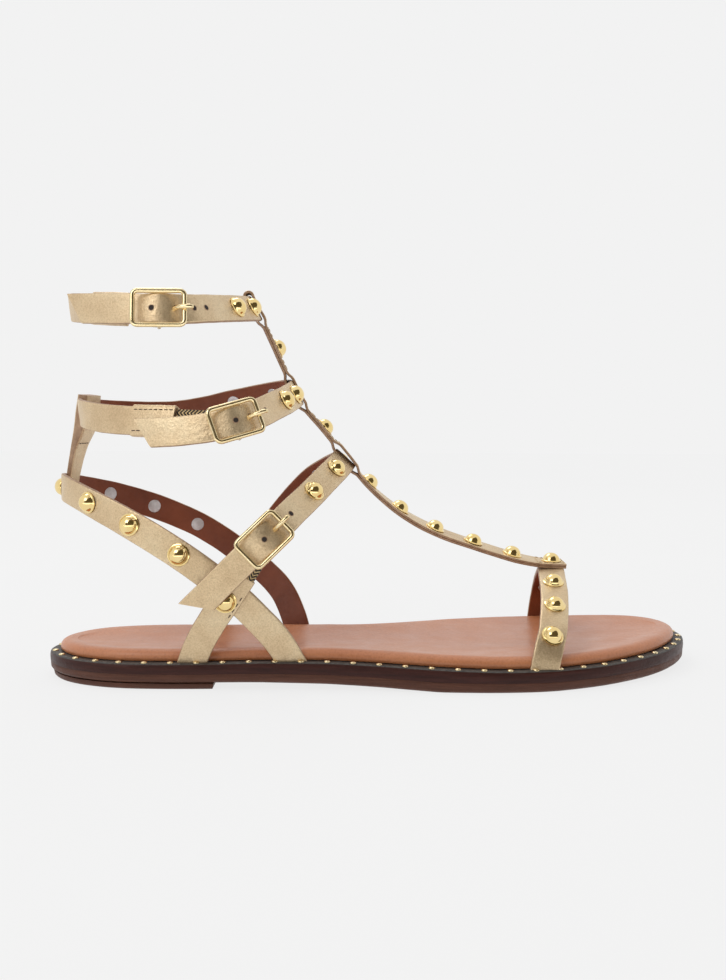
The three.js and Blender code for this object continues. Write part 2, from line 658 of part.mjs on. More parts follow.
function studSolid(row) {
  const strap = STRAPS[row.on];
  const frame = strapFrame(strap, nearestSpot(strap, new THREE.Vector3(row.x, row.y, row.z)));
  const base = frame.place.clone().addScaledVector(frame.out, frame.thick / 2 + STUD_LIFT);
  const steps = [
    { radius: 1, rise: 0 }, { radius: 0.97, rise: 0.25 },
    { radius: 0.72, rise: 0.76 }, { radius: 0.24, rise: 1 },
  ];
  return loft(steps.map((step) => {
    const ring = [];
    for (let k = 0; k < STUD_SIDES; k += 1) {
      const turn = k / STUD_SIDES * 2 * Math.PI;
      ring.push(base.clone()
        .addScaledVector(frame.run, STUD_RADIUS * step.radius * Math.cos(turn))
        .addScaledVector(frame.wide, STUD_RADIUS * step.radius * Math.sin(turn))
        .addScaledVector(frame.out, STUD_HEIGHT * step.rise));
    }
    return ring;
  }));
}

const group = new THREE.Group();
group.name = "gladiator_sandal";

function place(name, solid, look) {
  const mesh = solid.getMesh();
  const geometry = new THREE.BufferGeometry();
  const positions = new Float32Array(mesh.numVert * 3);
  for (let i = 0; i < mesh.numVert; i += 1) {
    positions.set(mesh.vertProperties.slice(i * mesh.numProp, i * mesh.numProp + 3), i * 3);
  }
  geometry.setAttribute("position", new THREE.BufferAttribute(positions, 3));
  geometry.setIndex(new THREE.BufferAttribute(new Uint32Array(mesh.triVerts), 1));
  geometry.computeVertexNormals();
  const node = new THREE.Mesh(geometry, new THREE.MeshStandardMaterial(look));
  node.name = name;
  group.add(node);
}

place("heel_lift", heelLift, STACK_BROWN);
place("outsole", outsole, STACK_BROWN);
place("midsole", midsole, WELT_BROWN);
place("insole", insole, TAN_LEATHER);
place("upper", upper, GOLD_LEATHER);
place("ankle_strap_mid", ankleBand("mid"), GOLD_LEATHER);
place("ankle_strap_top", ankleBand("top"), GOLD_LEATHER);
for (const [name, buckle] of Object.entries(BUCKLES)) {
  place(`buckle_${name}`, buckleSolid(frames[name]), GOLD);
  place(`elastic_${name}`, elasticSolid(buckle, frames[name]), ELASTIC_DARK);
}
STUDS.forEach((row, i) => place(`stud_${String(i + 1).padStart(2, "0")}`, studSolid(row), GOLD));

const box = new THREE.Box3().setFromObject(group);
const middle = box.getCenter(new THREE.Vector3());
for (const node of group.children) {
  node.geometry.translate(-middle.x, -middle.y, -box.min.z);
}

export default group;
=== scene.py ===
"""Gladiator sandal, right foot, as it looks. Metres, with the tables of places in millimetres.

+X runs to the toe, +Y to the inner side and +Z up.
"""

import bisect
import math
import random
from collections import namedtuple

import bmesh
import bpy
from mathutils import Euler, Matrix, Vector, noise


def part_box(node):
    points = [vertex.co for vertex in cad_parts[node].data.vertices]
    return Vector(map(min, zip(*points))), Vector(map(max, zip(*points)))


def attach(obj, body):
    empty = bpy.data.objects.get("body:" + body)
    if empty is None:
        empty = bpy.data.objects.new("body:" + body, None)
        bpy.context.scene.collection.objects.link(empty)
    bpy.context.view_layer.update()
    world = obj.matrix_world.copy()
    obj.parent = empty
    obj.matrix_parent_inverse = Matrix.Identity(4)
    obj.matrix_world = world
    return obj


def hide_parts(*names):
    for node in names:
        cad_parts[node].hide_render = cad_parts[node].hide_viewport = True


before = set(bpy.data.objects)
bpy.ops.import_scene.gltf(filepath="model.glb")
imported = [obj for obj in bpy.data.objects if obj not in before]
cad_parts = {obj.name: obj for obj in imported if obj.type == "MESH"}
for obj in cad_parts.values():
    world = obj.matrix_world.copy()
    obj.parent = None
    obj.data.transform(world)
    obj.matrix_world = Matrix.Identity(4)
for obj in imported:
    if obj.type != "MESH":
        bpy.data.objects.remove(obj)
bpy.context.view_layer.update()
rng = random.Random(7)

MM = 0.001

# Sizes shared with the CAD part.
STRAP_THICK = 0.0018
STRAP_WIDTH = 0.0102
TSTRAP_THICK = 0.002
TSTRAP_WIDTH = 0.0108
TAIL_SLANT = 0.0075
STUD_LIFT = 0.0004
FRAME_LENGTH = 0.019
FRAME_WIDTH = 0.0134
FRAME_OFFSET = 0.00195
BAR_OFFSET = -0.0033
HEEL_BREAST_X = -0.06
HEEL_BREAST_FACE = (1, 0, -0.25)
HEEL_HEIGHT = 0.0025
SEAM_SHARE = 0.46

Row = namedtuple("Row", "x y z thick width", defaults=(None, None))
Outline = namedtuple("Outline", "x medial lateral")
Profile = namedtuple("Profile", "x ground welt")
Ring = namedtuple("Ring", "inset base rise")


def rows_of(kind, *rows):
    return [kind(*row) for row in rows]


# Strap centre lines, in millimetres.
TOE_STRAP = rows_of(
    Row,
    (72.4, 45.2, 6), (73.2, 45, 15), (74, 41.5, 24.5), (73.6, 32.5, 31.5), (72.2, 20, 35.6), (70, 7.4, 37.2),
    (68, -6, 35.4), (66.4, -18, 31.6), (64.4, -29, 26.8), (61.8, -39.5, 20.4), (59, -45.2, 13.5),
    (57, -46.8, 5),
)
T_STRAP = rows_of(
    Row,
    (-51.6, -2.2, 146, 4.4), (-50.6, -2, 143.5, 5), (-48.8, -1.8, 139.8, 5), (-45.2, -1.2, 133.5, 3.4),
    (-40.8, 0, 124), (-36.2, 0.6, 114, 3), (-33, 1, 107.3, 5), (-29.4, 1.4, 101.4, 4), (-22.2, 2.2, 93),
    (-13, 3, 81.8, 2.8), (-4.4, 3.2, 71.3), (8, 4, 60.8), (22.4, 5.2, 52.8), (37.9, 6, 47.2),
    (53.9, 6.8, 42.2), (65, 7.2, 39.8), (75.2, 7.6, 39.2),
)
INSTEP_STRAP = rows_of(
    Row,
    (-67.5, -52.6, 28.5), (-61, -53.2, 35), (-54.5, -53.7, 41.5), (-48, -54, 48), (-41.5, -53.4, 54.3),
    (-35.8, -49.6, 59.8), (-30.8, -41.5, 64.6), (-26, -31.5, 68.9), (-20.8, -20.5, 74), (-15.8, -8.5, 78.8),
    (-13.4, 3, 81.4), (-14.6, 14, 80), (-19.2, 24, 77.5), (-26.4, 31.5, 72.8), (-34, 36, 65),
    (-41.4, 37.2, 56), (-48, 36.4, 47.5), (-54.5, 33.6, 40), (-60, 29, 32), (-64.5, 23, 23),
    (-67.5, 17.2, 14.5), (-68.8, 14, 6),
)
INSTEP_TAB = rows_of(
    Row,
    (-69, -41.6, 6), (-65.5, -43.8, 15.5), (-60.2, -46.8, 25), (-54, -48.2, 34.4), (-49.5, -48.9, 41.5),
)
HEEL_STRAP = rows_of(
    Row,
    (-31.4, 12.8, 6), (-34, 16.4, 16), (-39.6, 23.2, 26.4), (-49.4, 29.4, 35.4), (-61, 33, 43.8),
    (-74, 33.6, 52), (-87, 31, 58.2), (-98, 26, 62.6), (-109.5, 18, 66.4), (-118.5, 9.5, 68.8),
    (-122, 0.5, 70), (-121.2, -9, 70.4), (-117, -19, 69.6), (-107.6, -29, 66.2), (-94.6, -37.2, 60.6),
    (-80, -42.6, 53), (-66, -45.2, 44.2), (-54, -45.8, 35), (-44.6, -45.2, 26), (-36.8, -43.4, 16.8),
    (-30.6, -41.8, 6),
)
HEEL_TAB = rows_of(
    Row,
    (-112.6, -2.4, 105.8, 4.4, 12.6), (-113.4, -2, 99.2, 5, 12.6), (-114.6, -1.4, 93.2, 4.4, 12),
    (-117.4, -0.4, 85, 2.4, 10), (-119.8, 0, 74, 2, 8), (-120, 0, 66, 2, 7),
)
MID_STRAP = rows_of(
    Row,
    (-87, -47.8, 90.9), (-78, -51.6, 91.2), (-69, -54.2, 91.8), (-60.2, -55.2, 93), (-51.6, -53.8, 95),
    (-44, -48, 97.9), (-39.6, -38, 100.6), (-35.8, -26, 103.2), (-33.2, -12, 105.7), (-32.8, 1, 107.4),
    (-36.2, 11.5, 108), (-42.6, 18.8, 107.4), (-51, 23.6, 106), (-61, 26, 104), (-72, 27, 101.4),
    (-83, 25.8, 99.6), (-93, 22, 99), (-102, 16.2, 99), (-109.4, 9, 99.2), (-113.2, 1, 99.4),
    (-114.2, -7, 99.2), (-112.6, -16, 98.6), (-108.4, -24.8, 97.6), (-101.4, -32.4, 96.4),
    (-92.4, -38.4, 95.6), (-82.4, -42.8, 95.2), (-73, -46.6, 95),
)
TOP_STRAP = rows_of(
    Row,
    (-109.8, -45, 134), (-103, -49.6, 133.6), (-95, -54, 133.1), (-86.2, -58.4, 132.6), (-76, -60.8, 132.2),
    (-67, -57, 132.8), (-60.8, -48.6, 134), (-55.6, -37.4, 135.4), (-51.4, -25, 136.9), (-49, -12, 138.4),
    (-48.8, 0, 139.8), (-50.6, 12, 141.3), (-55.6, 22.6, 142.7), (-63.6, 31.2, 143.7), (-73, 36, 144.3),
    (-83, 37.4, 144.4), (-93, 34.8, 144), (-102, 29, 143.2), (-109.6, 21, 142.2), (-115, 11, 141),
    (-117.2, 0, 139.8), (-116.8, -11, 138.4), (-113.8, -22.6, 137), (-108.4, -33, 135.7),
    (-101.4, -41.6, 134.6), (-94.4, -47.4, 133.8), (-88, -51.2, 133.2),
)

# The sole from above, and its heights, in millimetres.
OUTLINE = rows_of(
    Outline,
    (-123, -3.5, -22.5), (-117, 6, -31.8), (-108, 12.5, -38.8), (-95, 16.5, -43.7), (-78, 18, -45.4),
    (-58, 17, -45.3), (-38, 15.8, -45.4), (-20, 16.3, -45.9), (-8, 18.6, -46.7), (4, 24.2, -48.2),
    (16, 31.6, -49.7), (28, 38.8, -50.8), (42, 44.8, -51.1), (56, 48, -49.8), (70, 49.3, -46),
    (84, 48.8, -40), (98, 46.4, -31.2), (109, 42, -21.3), (117.5, 35, -9.6), (123, 26, 2.5),
)
PROFILE = rows_of(
    Profile,
    (-126, 2.5, 9.3), (-62, 2.5, 9.5), (-45, 2.6, 9.9), (-20, 2.1, 9.9), (0, 1.2, 9.2), (20, 0, 8.3),
    (40, 0, 7.7), (62, 0, 7.7), (80, 0.4, 8), (98, 1, 8.7), (112, 1.7, 9.4), (126, 2.5, 9.9),
)

# Where the studs sit on each strap: x, y and z in millimetres.
STUDS = {
    "t_strap": (
        (-40.8, 0, 124), (-22.2, 2.2, 93), (-4.4, 3.2, 71.3), (7.8, 4, 60.4), (22.2, 5.2, 52.4),
        (37.8, 6, 46.8), (53.8, 6.8, 41.8), (70.2, 7.4, 39),
    ),
    "toe_strap": (
        (74.2, 40.5, 25.5), (73.4, 25.5, 34), (67.6, -12.6, 33), (65, -28.3, 27), (61.6, -42, 18.4),
    ),
    "top_strap": (
        (-49.2, -14, 138), (-53.6, -31.5, 136), (-53.6, 19, 142.2), (-68, 33.6, 144),
    ),
    "mid_strap": (
        (-35.2, -12, 105.7), (-37.6, -26.6, 103), (-43, 17.6, 107.8), (-59.6, 25.6, 105.2),
    ),
    "instep_strap": (
        (-17.4, -12.4, 77.4), (-25.4, -30, 69.6), (-15.8, 17, 79.4), (-24.2, 29.3, 74.2), (-54.5, 33.6, 40),
    ),
    "instep_tab": ((-55.4, -48, 32.4),),
    "heel_strap": (
        (-106.5, -30, 65.6), (-90, -39.4, 58.2), (-72, -44.4, 48), (-122, -2, 70), (-109.5, 18, 66.6),
        (-93, 28.5, 61.4), (-75, 33.6, 54),
    ),
}

# Tips of the sole's outline.
HEEL_TIP = Vector((-0.125, -0.013))
TOE_TIP = Vector((0.125, 0.014))

# The table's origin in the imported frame.
SOLE_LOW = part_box("midsole")[0]
SHIFT = Vector((SOLE_LOW.x + 0.125, SOLE_LOW.y + 0.05115, 0))


# Straps as lines.

Spot = namedtuple("Spot", "place run wide out thick width")


def place_of(row):
    return Vector((row.x, row.y, row.z)) * MM


def curve_through(a, b, c, d, t):
    linear = (c - a) * t
    square = (2 * a - 5 * b + 4 * c - d) * t * t
    cube = (3 * b - a - 3 * c + d) * t * t * t
    return 0.5 * (2 * b + linear + square + cube)


def along(values, spot):
    """Value at a spot along a row of values, on a smooth curve through them."""
    i = min(int(spot), len(values) - 2)
    before = values[i - 1] if i else 2 * values[0] - values[1]
    after = values[i + 2] if i + 2 < len(values) else 2 * values[i + 1] - values[i]
    return curve_through(before, values[i], values[i + 1], after, spot - i)


class Strap:
    """A band laid along rows of places; its outer face looks away from the core."""

    STEP = 0.02
    NUDGE = 0.05

    def __init__(self, rows, core, thick=STRAP_THICK, width=STRAP_WIDTH, lean=None):
        self.places = [place_of(row) for row in rows]
        self.thicks = [row.thick * MM if row.thick else thick for row in rows]
        self.widths = [row.width * MM if row.width else width for row in rows]
        self.core = core
        self.lean = lean
        self.last = len(rows) - 1
        self.spots = [i * self.STEP for i in range(round(self.last / self.STEP) + 1)]
        self.lengths = [0.0]
        for a, b in zip(self.spots, self.spots[1:]):
            step = (along(self.places, b) - along(self.places, a)).length
            self.lengths.append(self.lengths[-1] + step)
        self.length = self.lengths[-1]

    def at_spot(self, spot):
        place = along(self.places, spot)
        ahead = along(self.places, min(spot + self.NUDGE, self.last))
        run = (ahead - along(self.places, max(spot - self.NUDGE, 0))).normalized()
        out = place - self.core(place)
        out = (out - run * out.dot(run)).normalized()
        if self.lean:
            out = Matrix.Rotation(self.lean(place), 3, run) @ out
        wide = run.cross(out).normalized()
        thick = along(self.thicks, spot)
        return Spot(place + SHIFT, run, wide, out, thick, along(self.widths, spot))

    def spot_of(self, length):
        length = min(max(length, 0), self.length)
        i = min(max(bisect.bisect_right(self.lengths, length) - 1, 0), len(self.spots) - 2)
        share = (length - self.lengths[i]) / (self.lengths[i + 1] - self.lengths[i])
        return self.spots[i] + share * self.STEP

    def at(self, length):
        return self.at_spot(self.spot_of(length))

    def length_near(self, row):
        """Length along the strap of the point nearest to a row's place."""
        target = place_of(row)
        gaps = [(along(self.places, s) - target).length for s in self.spots]
        return self.lengths[gaps.index(min(gaps))]


# Lines that the outer faces of the straps look away from.
FOOT_CORE_Z = 0.004
ARCH_CENTRE = Vector((-0.062, -0.002, 0.028))
HEEL_CORE = {"front": -0.084, "y": -0.008}
RIDGE = {"depth": 0.06, "back_slope": 0.3, "front_slope": 1.2}
LegCore = namedtuple("LegCore", "x y drop slope")
SHIN = LegCore(-0.085, -0.008, 0.007, 0.36)
ANKLE = LegCore(-0.08, -0.008, 0.008, 0.35)

# Turn of the front strap's face over the forefoot, in radians: it grows over a ramp, then eases.
Ramp = namedtuple("Ramp", "turn start length")
LEAN = Ramp(0.17, -0.012, 0.03)
LEAN_EASE = Ramp(0.08, 0.055, 0.015)


def limited(value):
    return min(max(value, 0), 1)


def foot_core(p):
    return Vector((p.x, 0, FOOT_CORE_Z))


def leg_core(leg):
    return lambda p: Vector((leg.x, leg.y, p.z - leg.drop - leg.slope * (p.x - leg.x)))


def arch_core(_):
    return ARCH_CENTRE


def heel_core(p):
    return Vector((max(p.x, HEEL_CORE["front"]), HEEL_CORE["y"], p.z))


def ridge_core(p):
    x = p.x - RIDGE["depth"] + RIDGE["back_slope"] * min(p.x, 0)
    return Vector((x, p.y, p.z - RIDGE["depth"] - RIDGE["front_slope"] * max(p.x, 0)))


def front_lean(p):
    """The front strap's face turns a little to the outer side over the forefoot."""
    grown, eased = (ramp.turn * limited((p.x - ramp.start) / ramp.length) for ramp in (LEAN, LEAN_EASE))
    return grown - eased


STRAPS = {
    "toe_strap": Strap(TOE_STRAP, foot_core),
    "t_strap": Strap(T_STRAP, ridge_core, TSTRAP_THICK, TSTRAP_WIDTH, front_lean),
    "instep_strap": Strap(INSTEP_STRAP, arch_core),
    "instep_tab": Strap(INSTEP_TAB, arch_core),
    "heel_strap": Strap(HEEL_STRAP, heel_core),
    "heel_tab": Strap(HEEL_TAB, leg_core(SHIN)),
    "mid_strap": Strap(MID_STRAP, leg_core(ANKLE)),
    "top_strap": Strap(TOP_STRAP, leg_core(SHIN)),
}
NODE_OF = {"mid_strap": "ankle_strap_mid", "top_strap": "ankle_strap_top"}
BUCKLES = {
    "top": ("top_strap", "top_strap"),
    "mid": ("mid_strap", "mid_strap"),
    "instep": ("instep_strap", "instep_tab"),
}
BUCKLE_SPOT = 4


def offset(spot, along_run=0.0, across=0.0, outward=0.0):
    return spot.place + spot.run * along_run + spot.wide * across + spot.out * outward


# Materials.


def is_socket(value):
    return isinstance(value, bpy.types.NodeSocket)


class Look:
    """Small builder for node materials."""

    def __init__(self, name, **values):
        self.material = bpy.data.materials.new(name)
        self.material.use_nodes = True
        self.tree = self.material.node_tree
        self.shader = self.tree.nodes["Principled BSDF"]
        for socket, value in values.items():
            self.shader.inputs[socket.replace("_", " ")].default_value = value

    def node(self, kind, inputs=(), **settings):
        made = self.tree.nodes.new("ShaderNode" + kind)
        for key, value in settings.items():
            setattr(made, key, value)
        for key, value in dict(inputs).items():
            if is_socket(value):
                self.tree.links.new(value, made.inputs[key])
            else:
                made.inputs[key].default_value = value
        return made

    def places(self, stretch):
        source = self.node("TexCoord").outputs["Object"]
        return self.node("Mapping", {"Vector": source, "Scale": stretch}).outputs["Vector"]

    def noise(self, scale, detail=4.0, rough=0.55, stretch=(1, 1, 1)):
        inputs = {"Vector": self.places(stretch), "Scale": scale, "Detail": detail, "Roughness": rough}
        return self.node("TexNoise", inputs).outputs["Fac"]

    def cells(self, scale):
        inputs = {"Vector": self.places((1, 1, 1)), "Scale": scale}
        return self.node("TexVoronoi", inputs).outputs["Distance"]

    def ramp(self, value, *stops):
        made = self.node("ValToRGB", {"Fac": value})
        ramp = made.color_ramp
        while len(ramp.elements) < len(stops):
            ramp.elements.new(0.5)
        for element, (place, colour) in zip(ramp.elements, stops):
            element.position = place
            element.color = (*colour, 1)
        return made.outputs["Color"]

    def shades(self, value, dark, light):
        return self.ramp(value, (0.3, dark), (0.7, light))

    def span(self, value, low, high, start=0.3, end=0.7):
        inputs = {"Value": value, "From Min": start, "From Max": end, "To Min": low, "To Max": high}
        return self.node("MapRange", inputs).outputs["Result"]

    def mixed(self, share, first, second, blend="MIX"):
        ends = [value if is_socket(value) else (*value, 1) for value in (first, second)]
        inputs = {0: share, 6: ends[0], 7: ends[1]}
        return self.node("Mix", inputs, data_type="RGBA", blend_type=blend).outputs[2]

    def bump(self, *layers):
        """Each layer is a height and how deep it goes, in metres."""
        last = None
        for height, depth in layers:
            inputs = {"Height": height, "Distance": depth, "Strength": 1.0}
            if last:
                inputs["Normal"] = last
            last = self.node("Bump", inputs).outputs["Normal"]
        self.drive("Normal", last)

    def drive(self, socket, value):
        self.tree.links.new(value, self.shader.inputs[socket])

    def colour(self, value):
        self.drive("Base Color", value)

    def tint(self, *shades):
        self.colour(self.shades(*shades))

    def roughness(self, value, *span):
        self.drive("Roughness", self.span(value, *span))


def gold_leather():
    """Champagne foil over fine-grained leather, rubbed duller in patches."""
    look = Look("gold_leather", Metallic=0.82, Coat_Weight=0.08, Coat_Roughness=0.3)
    tone = look.noise(55, 5, 0.6)
    fleck = look.noise(1900, 2, 0.6)
    foil = ((0.3, (0.66, 0.488, 0.298)), (0.52, (0.76, 0.587, 0.372)), (0.75, (0.82, 0.672, 0.448)))
    colour = look.ramp(tone, *foil)
    grain = look.ramp(fleck, (0.3, (0.80, 0.78, 0.74)), (0.62, (1.0, 1.0, 1.0)))
    look.colour(look.mixed(1.0, colour, grain, "MULTIPLY"))
    look.roughness(look.noise(240, 4), 0.36, 0.5)
    creases = (look.noise(380, 4, 0.7), 0.00016)
    look.bump((look.noise(1500, 3, 0.7), 0.00009), (look.cells(900), 0.00006), creases)
    return look


def tan_edge():
    """Painted cut edge of the straps."""
    look = Look("tan_edge", Coat_Weight=0.1, Coat_Roughness=0.4)
    look.tint(look.noise(420, 3), (0.30, 0.17, 0.09), (0.47, 0.30, 0.185))
    look.roughness(look.noise(800, 3), 0.42, 0.62)
    look.bump((look.noise(1600, 3), 0.00008))
    return look


def lining_leather():
    """Smooth reddish-brown lining."""
    look = Look("lining_leather", Specular_IOR_Level=0.38)
    look.tint(look.noise(70, 5, 0.6), (0.165, 0.040, 0.015), (0.25, 0.066, 0.025))
    look.roughness(look.noise(500, 4), 0.38, 0.56)
    look.bump((look.noise(1800, 3, 0.7), 0.00006), (look.noise(160, 3), 0.00015))
    return look


def footbed_leather():
    """Padded tan leather with a soft shine, a little darker where the foot rubs."""
    look = Look("footbed_leather", Coat_Weight=0.3, Coat_Roughness=0.26, Coat_IOR=1.45)
    cloud = look.shades(look.noise(24, 5, 0.6), (0.50, 0.180, 0.074), (0.58, 0.226, 0.098))
    pores = look.ramp(look.noise(1300, 2, 0.6), (0.32, (0.86, 0.82, 0.78)), (0.55, (1.0, 1.0, 1.0)))
    look.colour(look.mixed(1.0, cloud, pores, "MULTIPLY"))
    look.roughness(look.noise(90, 5), 0.36, 0.5)
    look.bump((look.noise(1100, 3, 0.7), 0.00007), (look.cells(620), 0.00005), (look.noise(60, 3), 0.0004))
    return look


def welt_side():
    """Burnished very dark brown leather of the welt's edge, with fine lines along the sole."""
    look = Look("welt_side", Specular_IOR_Level=0.22)
    lines = look.noise(60, 5, 0.7, stretch=(1, 1, 14))
    look.colour(look.ramp(lines, (0.3, (0.028, 0.0072, 0.0052)), (0.72, (0.062, 0.0175, 0.0125))))
    look.roughness(look.noise(300, 4), 0.3, 0.46)
    look.bump((lines, 0.00025), (look.noise(900, 3), 0.0001))
    return look


def welt_top():
    """Near-black textured strip on top of the welt."""
    look = Look("welt_top")
    look.tint(look.noise(700, 4), (0.028, 0.024, 0.021), (0.075, 0.064, 0.054))
    look.roughness(look.noise(400, 3), 0.45, 0.65)
    look.bump((look.cells(800), 0.0002), (look.noise(1500, 3), 0.0001))
    return look


def stacked_sole():
    """Lighter brown stacked leather with lines along it and pale scuffs near the ground."""
    look = Look("stacked_sole", Specular_IOR_Level=0.25)
    lines = look.noise(50, 6, 0.75, stretch=(1, 1, 18))
    wood = look.shades(lines, (0.062, 0.0215, 0.0125), (0.125, 0.048, 0.0285))
    scuff = look.span(look.noise(130, 6, 0.8, stretch=(1, 1, 3)), 0, 1, 0.66, 0.74)
    look.colour(look.mixed(scuff, wood, (0.2, 0.12, 0.08)))
    look.roughness(look.noise(250, 4), 0.36, 0.55)
    look.bump((lines, 0.0003), (look.noise(900, 4), 0.0001))
    return look


def bright_gold():
    """Polished gold plating with a breath of haze and hairline marks."""
    look = Look("bright_gold", Metallic=1.0)
    look.tint(look.noise(300, 3), (0.89, 0.66, 0.27), (0.95, 0.76, 0.39))
    look.roughness(look.noise(700, 4), 0.06, 0.13)
    look.bump((look.noise(350, 4), 0.00003), (look.noise(2500, 2), 0.000008))
    return look


def pale_gold():
    """Soft pale gilding of the buckles and the welt pins."""
    look = Look("pale_gold", Metallic=1.0)
    look.tint(look.noise(260, 3), (0.78, 0.62, 0.34), (0.88, 0.74, 0.47))
    look.roughness(look.noise(800, 4), 0.14, 0.26)
    look.bump((look.noise(900, 4), 0.00003))
    return look


def rivet_steel():
    look = Look("rivet_steel", Metallic=0.7)
    look.tint(look.noise(500, 3), (0.50, 0.47, 0.47), (0.68, 0.66, 0.67))
    look.roughness(look.noise(900, 3), 0.28, 0.42)
    look.bump((look.noise(700, 3), 0.00005))
    return look


# Near-black painted shade for the inside of a punched hole: the strap has no opening, so this colour stands
# in for the shade seen through one.
def hole_painted_shade():
    look = Look("hole_painted_shade")
    look.tint(look.noise(900, 2), (0.012, 0.007, 0.005), (0.03, 0.017, 0.012))
    look.roughness(look.noise(900, 2), 0.6, 0.8)
    return look


def thread(name, dark, light):
    """Waxed thread with its twist."""
    look = Look(name)
    twist = look.noise(2600, 2)
    look.tint(twist, dark, light)
    look.roughness(twist, 0.45, 0.65)
    look.bump((twist, 0.00006))
    return look


ZIGZAG_HALF = 0.0011
THREAD_PITCH = 0.00065
THREAD_EDGE = (0.00022, 0.00042)


def woven_elastic():
    """Black elastic with gold threads in a zigzag; U runs along it, V across it, in metres."""
    look = Look("woven_elastic", Sheen_Weight=0.2)
    uv = look.node("TexCoord").outputs["UV"]
    parts = look.node("SeparateXYZ", {"Vector": uv}).outputs
    tooth = look.node("Math", {0: parts["Y"], 1: ZIGZAG_HALF}, operation="PINGPONG").outputs[0]
    shifted = look.node("Math", {0: parts["X"], 1: tooth}, operation="ADD").outputs[0]
    wave = look.node("Math", {0: shifted, 1: THREAD_PITCH}, operation="PINGPONG").outputs[0]
    share = look.span(wave, 0, 1, *THREAD_EDGE)
    gold = look.shades(look.noise(2200, 2), (0.34, 0.23, 0.10), (0.62, 0.46, 0.24))
    look.colour(look.mixed(share, (0.018, 0.015, 0.013), gold))
    look.drive("Metallic", look.span(wave, 0, 0.7, *THREAD_EDGE))
    look.roughness(wave, 0.8, 0.4, *THREAD_EDGE)
    look.bump((share, 0.0002), (look.noise(2400, 3), 0.0001))
    return look


FLOOR_SHADE = 0.11
FLOOR_GLOW = 0.896


def pale_floor():
    """Pale studio floor: mostly its own glow, so that it stays one tone with soft contact shade."""
    look = Look("pale_floor", Roughness=0.9, Specular_IOR_Level=0.0, Emission_Strength=FLOOR_GLOW)
    tone = look.shades(look.noise(3, 2), (0.886, 0.886, 0.886), (0.890, 0.890, 0.890))
    look.colour(look.mixed(1.0, tone, (FLOOR_SHADE, FLOOR_SHADE, FLOOR_SHADE), "MULTIPLY"))
    look.drive("Emission Color", tone)
    return look


GOLD = gold_leather()
EDGE = tan_edge()
LINING = lining_leather()
FOOTBED = footbed_leather()
WELT_SIDE = welt_side()
WELT_TOP = welt_top()
STACK = stacked_sole()
BRIGHT = bright_gold()
PALE_GOLD = pale_gold()
STEEL = rivet_steel()
# Near-black painted shade for the punched holes.
HOLE_SHADE = hole_painted_shade()
GOLD_THREAD = thread("gold_thread", (0.50, 0.37, 0.22), (0.72, 0.57, 0.38))
BROWN_THREAD = thread("brown_thread", (0.045, 0.024, 0.014), (0.11, 0.06, 0.036))
ELASTIC = woven_elastic()


# Meshes.


def added(name, data):
    """A new object in the scene."""
    made = bpy.data.objects.new(name, data)
    bpy.context.scene.collection.objects.link(made)
    return made


def piece(name, mesh, looks, nodes=(), smooth=40):
    """Adds a finished piece that rides on the shoe and stands for the named CAD nodes."""
    for look in looks:
        mesh.materials.append(look.material)
    mesh.shade_smooth()
    mesh.set_sharp_from_angle(angle=math.radians(smooth))
    made = added(name, mesh)
    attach(made, "root")
    if nodes:
        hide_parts(*nodes)


def mesh_of(name, points, faces, marks=None, uvs=None):
    mesh = bpy.data.meshes.new(name)
    mesh.from_pydata([tuple(p) for p in points], [], faces)
    if marks:
        mesh.polygons.foreach_set("material_index", marks)
    if uvs:
        layer = mesh.uv_layers.new(name="leather")
        for loop in mesh.loops:
            layer.data[loop.index].uv = uvs[loop.vertex_index]
    mesh.validate()
    mesh.update()
    return mesh


def quads(start, count, rows, closed=False):
    """Faces of a skin over equal rings whose points follow each other from start."""
    faces = []
    for r in range(rows if closed else rows - 1):
        here = start + r * count
        there = start + (r + 1) % rows * count
        for k in range(count):
            n = (k + 1) % count
            faces.append((here + k, here + n, there + n, there + k))
    return faces


def circle(centre, first, second, sides):
    """Ring of points; first and second are its two half axes."""
    turns = [2 * math.pi * k / sides for k in range(sides)]
    return [centre + first * math.cos(turn) + second * math.sin(turn) for turn in turns]


class Heap:
    """Many small shapes gathered into one mesh."""

    def __init__(self):
        self.points = []
        self.faces = []

    def loft(self, rings, closed=False):
        start = len(self.points)
        count = len(rings[0])
        for ring in rings:
            self.points.extend(ring)
        self.faces += quads(start, count, len(rings), closed)
        if not closed:
            self.faces.append(tuple(range(start + count - 1, start - 1, -1)))
            end = start + (len(rings) - 1) * count
            self.faces.append(tuple(range(end, end + count)))

    def tube(self, line, side, radius, flat=1.0, sides=10, closed=False):
        """Rod along a line; side is a steady direction across it, and flat squeezes it that way."""
        rings = []
        count = len(line)
        for i, place in enumerate(line):
            back = line[(i - 1) % count] if closed or i else place
            ahead = line[(i + 1) % count] if closed or i < count - 1 else place
            run = (ahead - back).normalized()
            other = run.cross(side).normalized()
            first = other.cross(run).normalized()
            rings.append(circle(place, first * radius * flat, other * radius, sides))
        self.loft(rings, closed)

    def turned(self, centre, axis, across, steps, sides=24):
        """Turned shape; steps are (radius, rise) pairs from the base to the top."""
        other = axis.cross(across).normalized()
        first = other.cross(axis).normalized()
        rings = []
        for radius, rise in steps:
            rings.append(circle(centre + axis * rise, first * radius, other * radius, sides))
        self.loft(rings)

    def finish(self, name, look, slot, nodes=(), smooth=40):
        piece(name, mesh_of(name, self.points, self.faces), (look,), nodes, smooth)


CROSSING = (-1, -0.985, -0.95, -0.88, -0.6, -0.3, 0, 0.3, 0.6, 0.88, 0.95, 0.985, 1)
EDGE_ROUND = 0.30
EDGE_START = 0.9
EDGE_BULGE = 0.00012
STATION = 0.0012
RIPPLE = 0.00008
RIPPLE_RATE = 90
WANDER_RATE = 160
NOISE_ACROSS = 1.3
NOISE_SEED = 3.7
EDGE_SIDE = 5
EDGE_POWER = 6


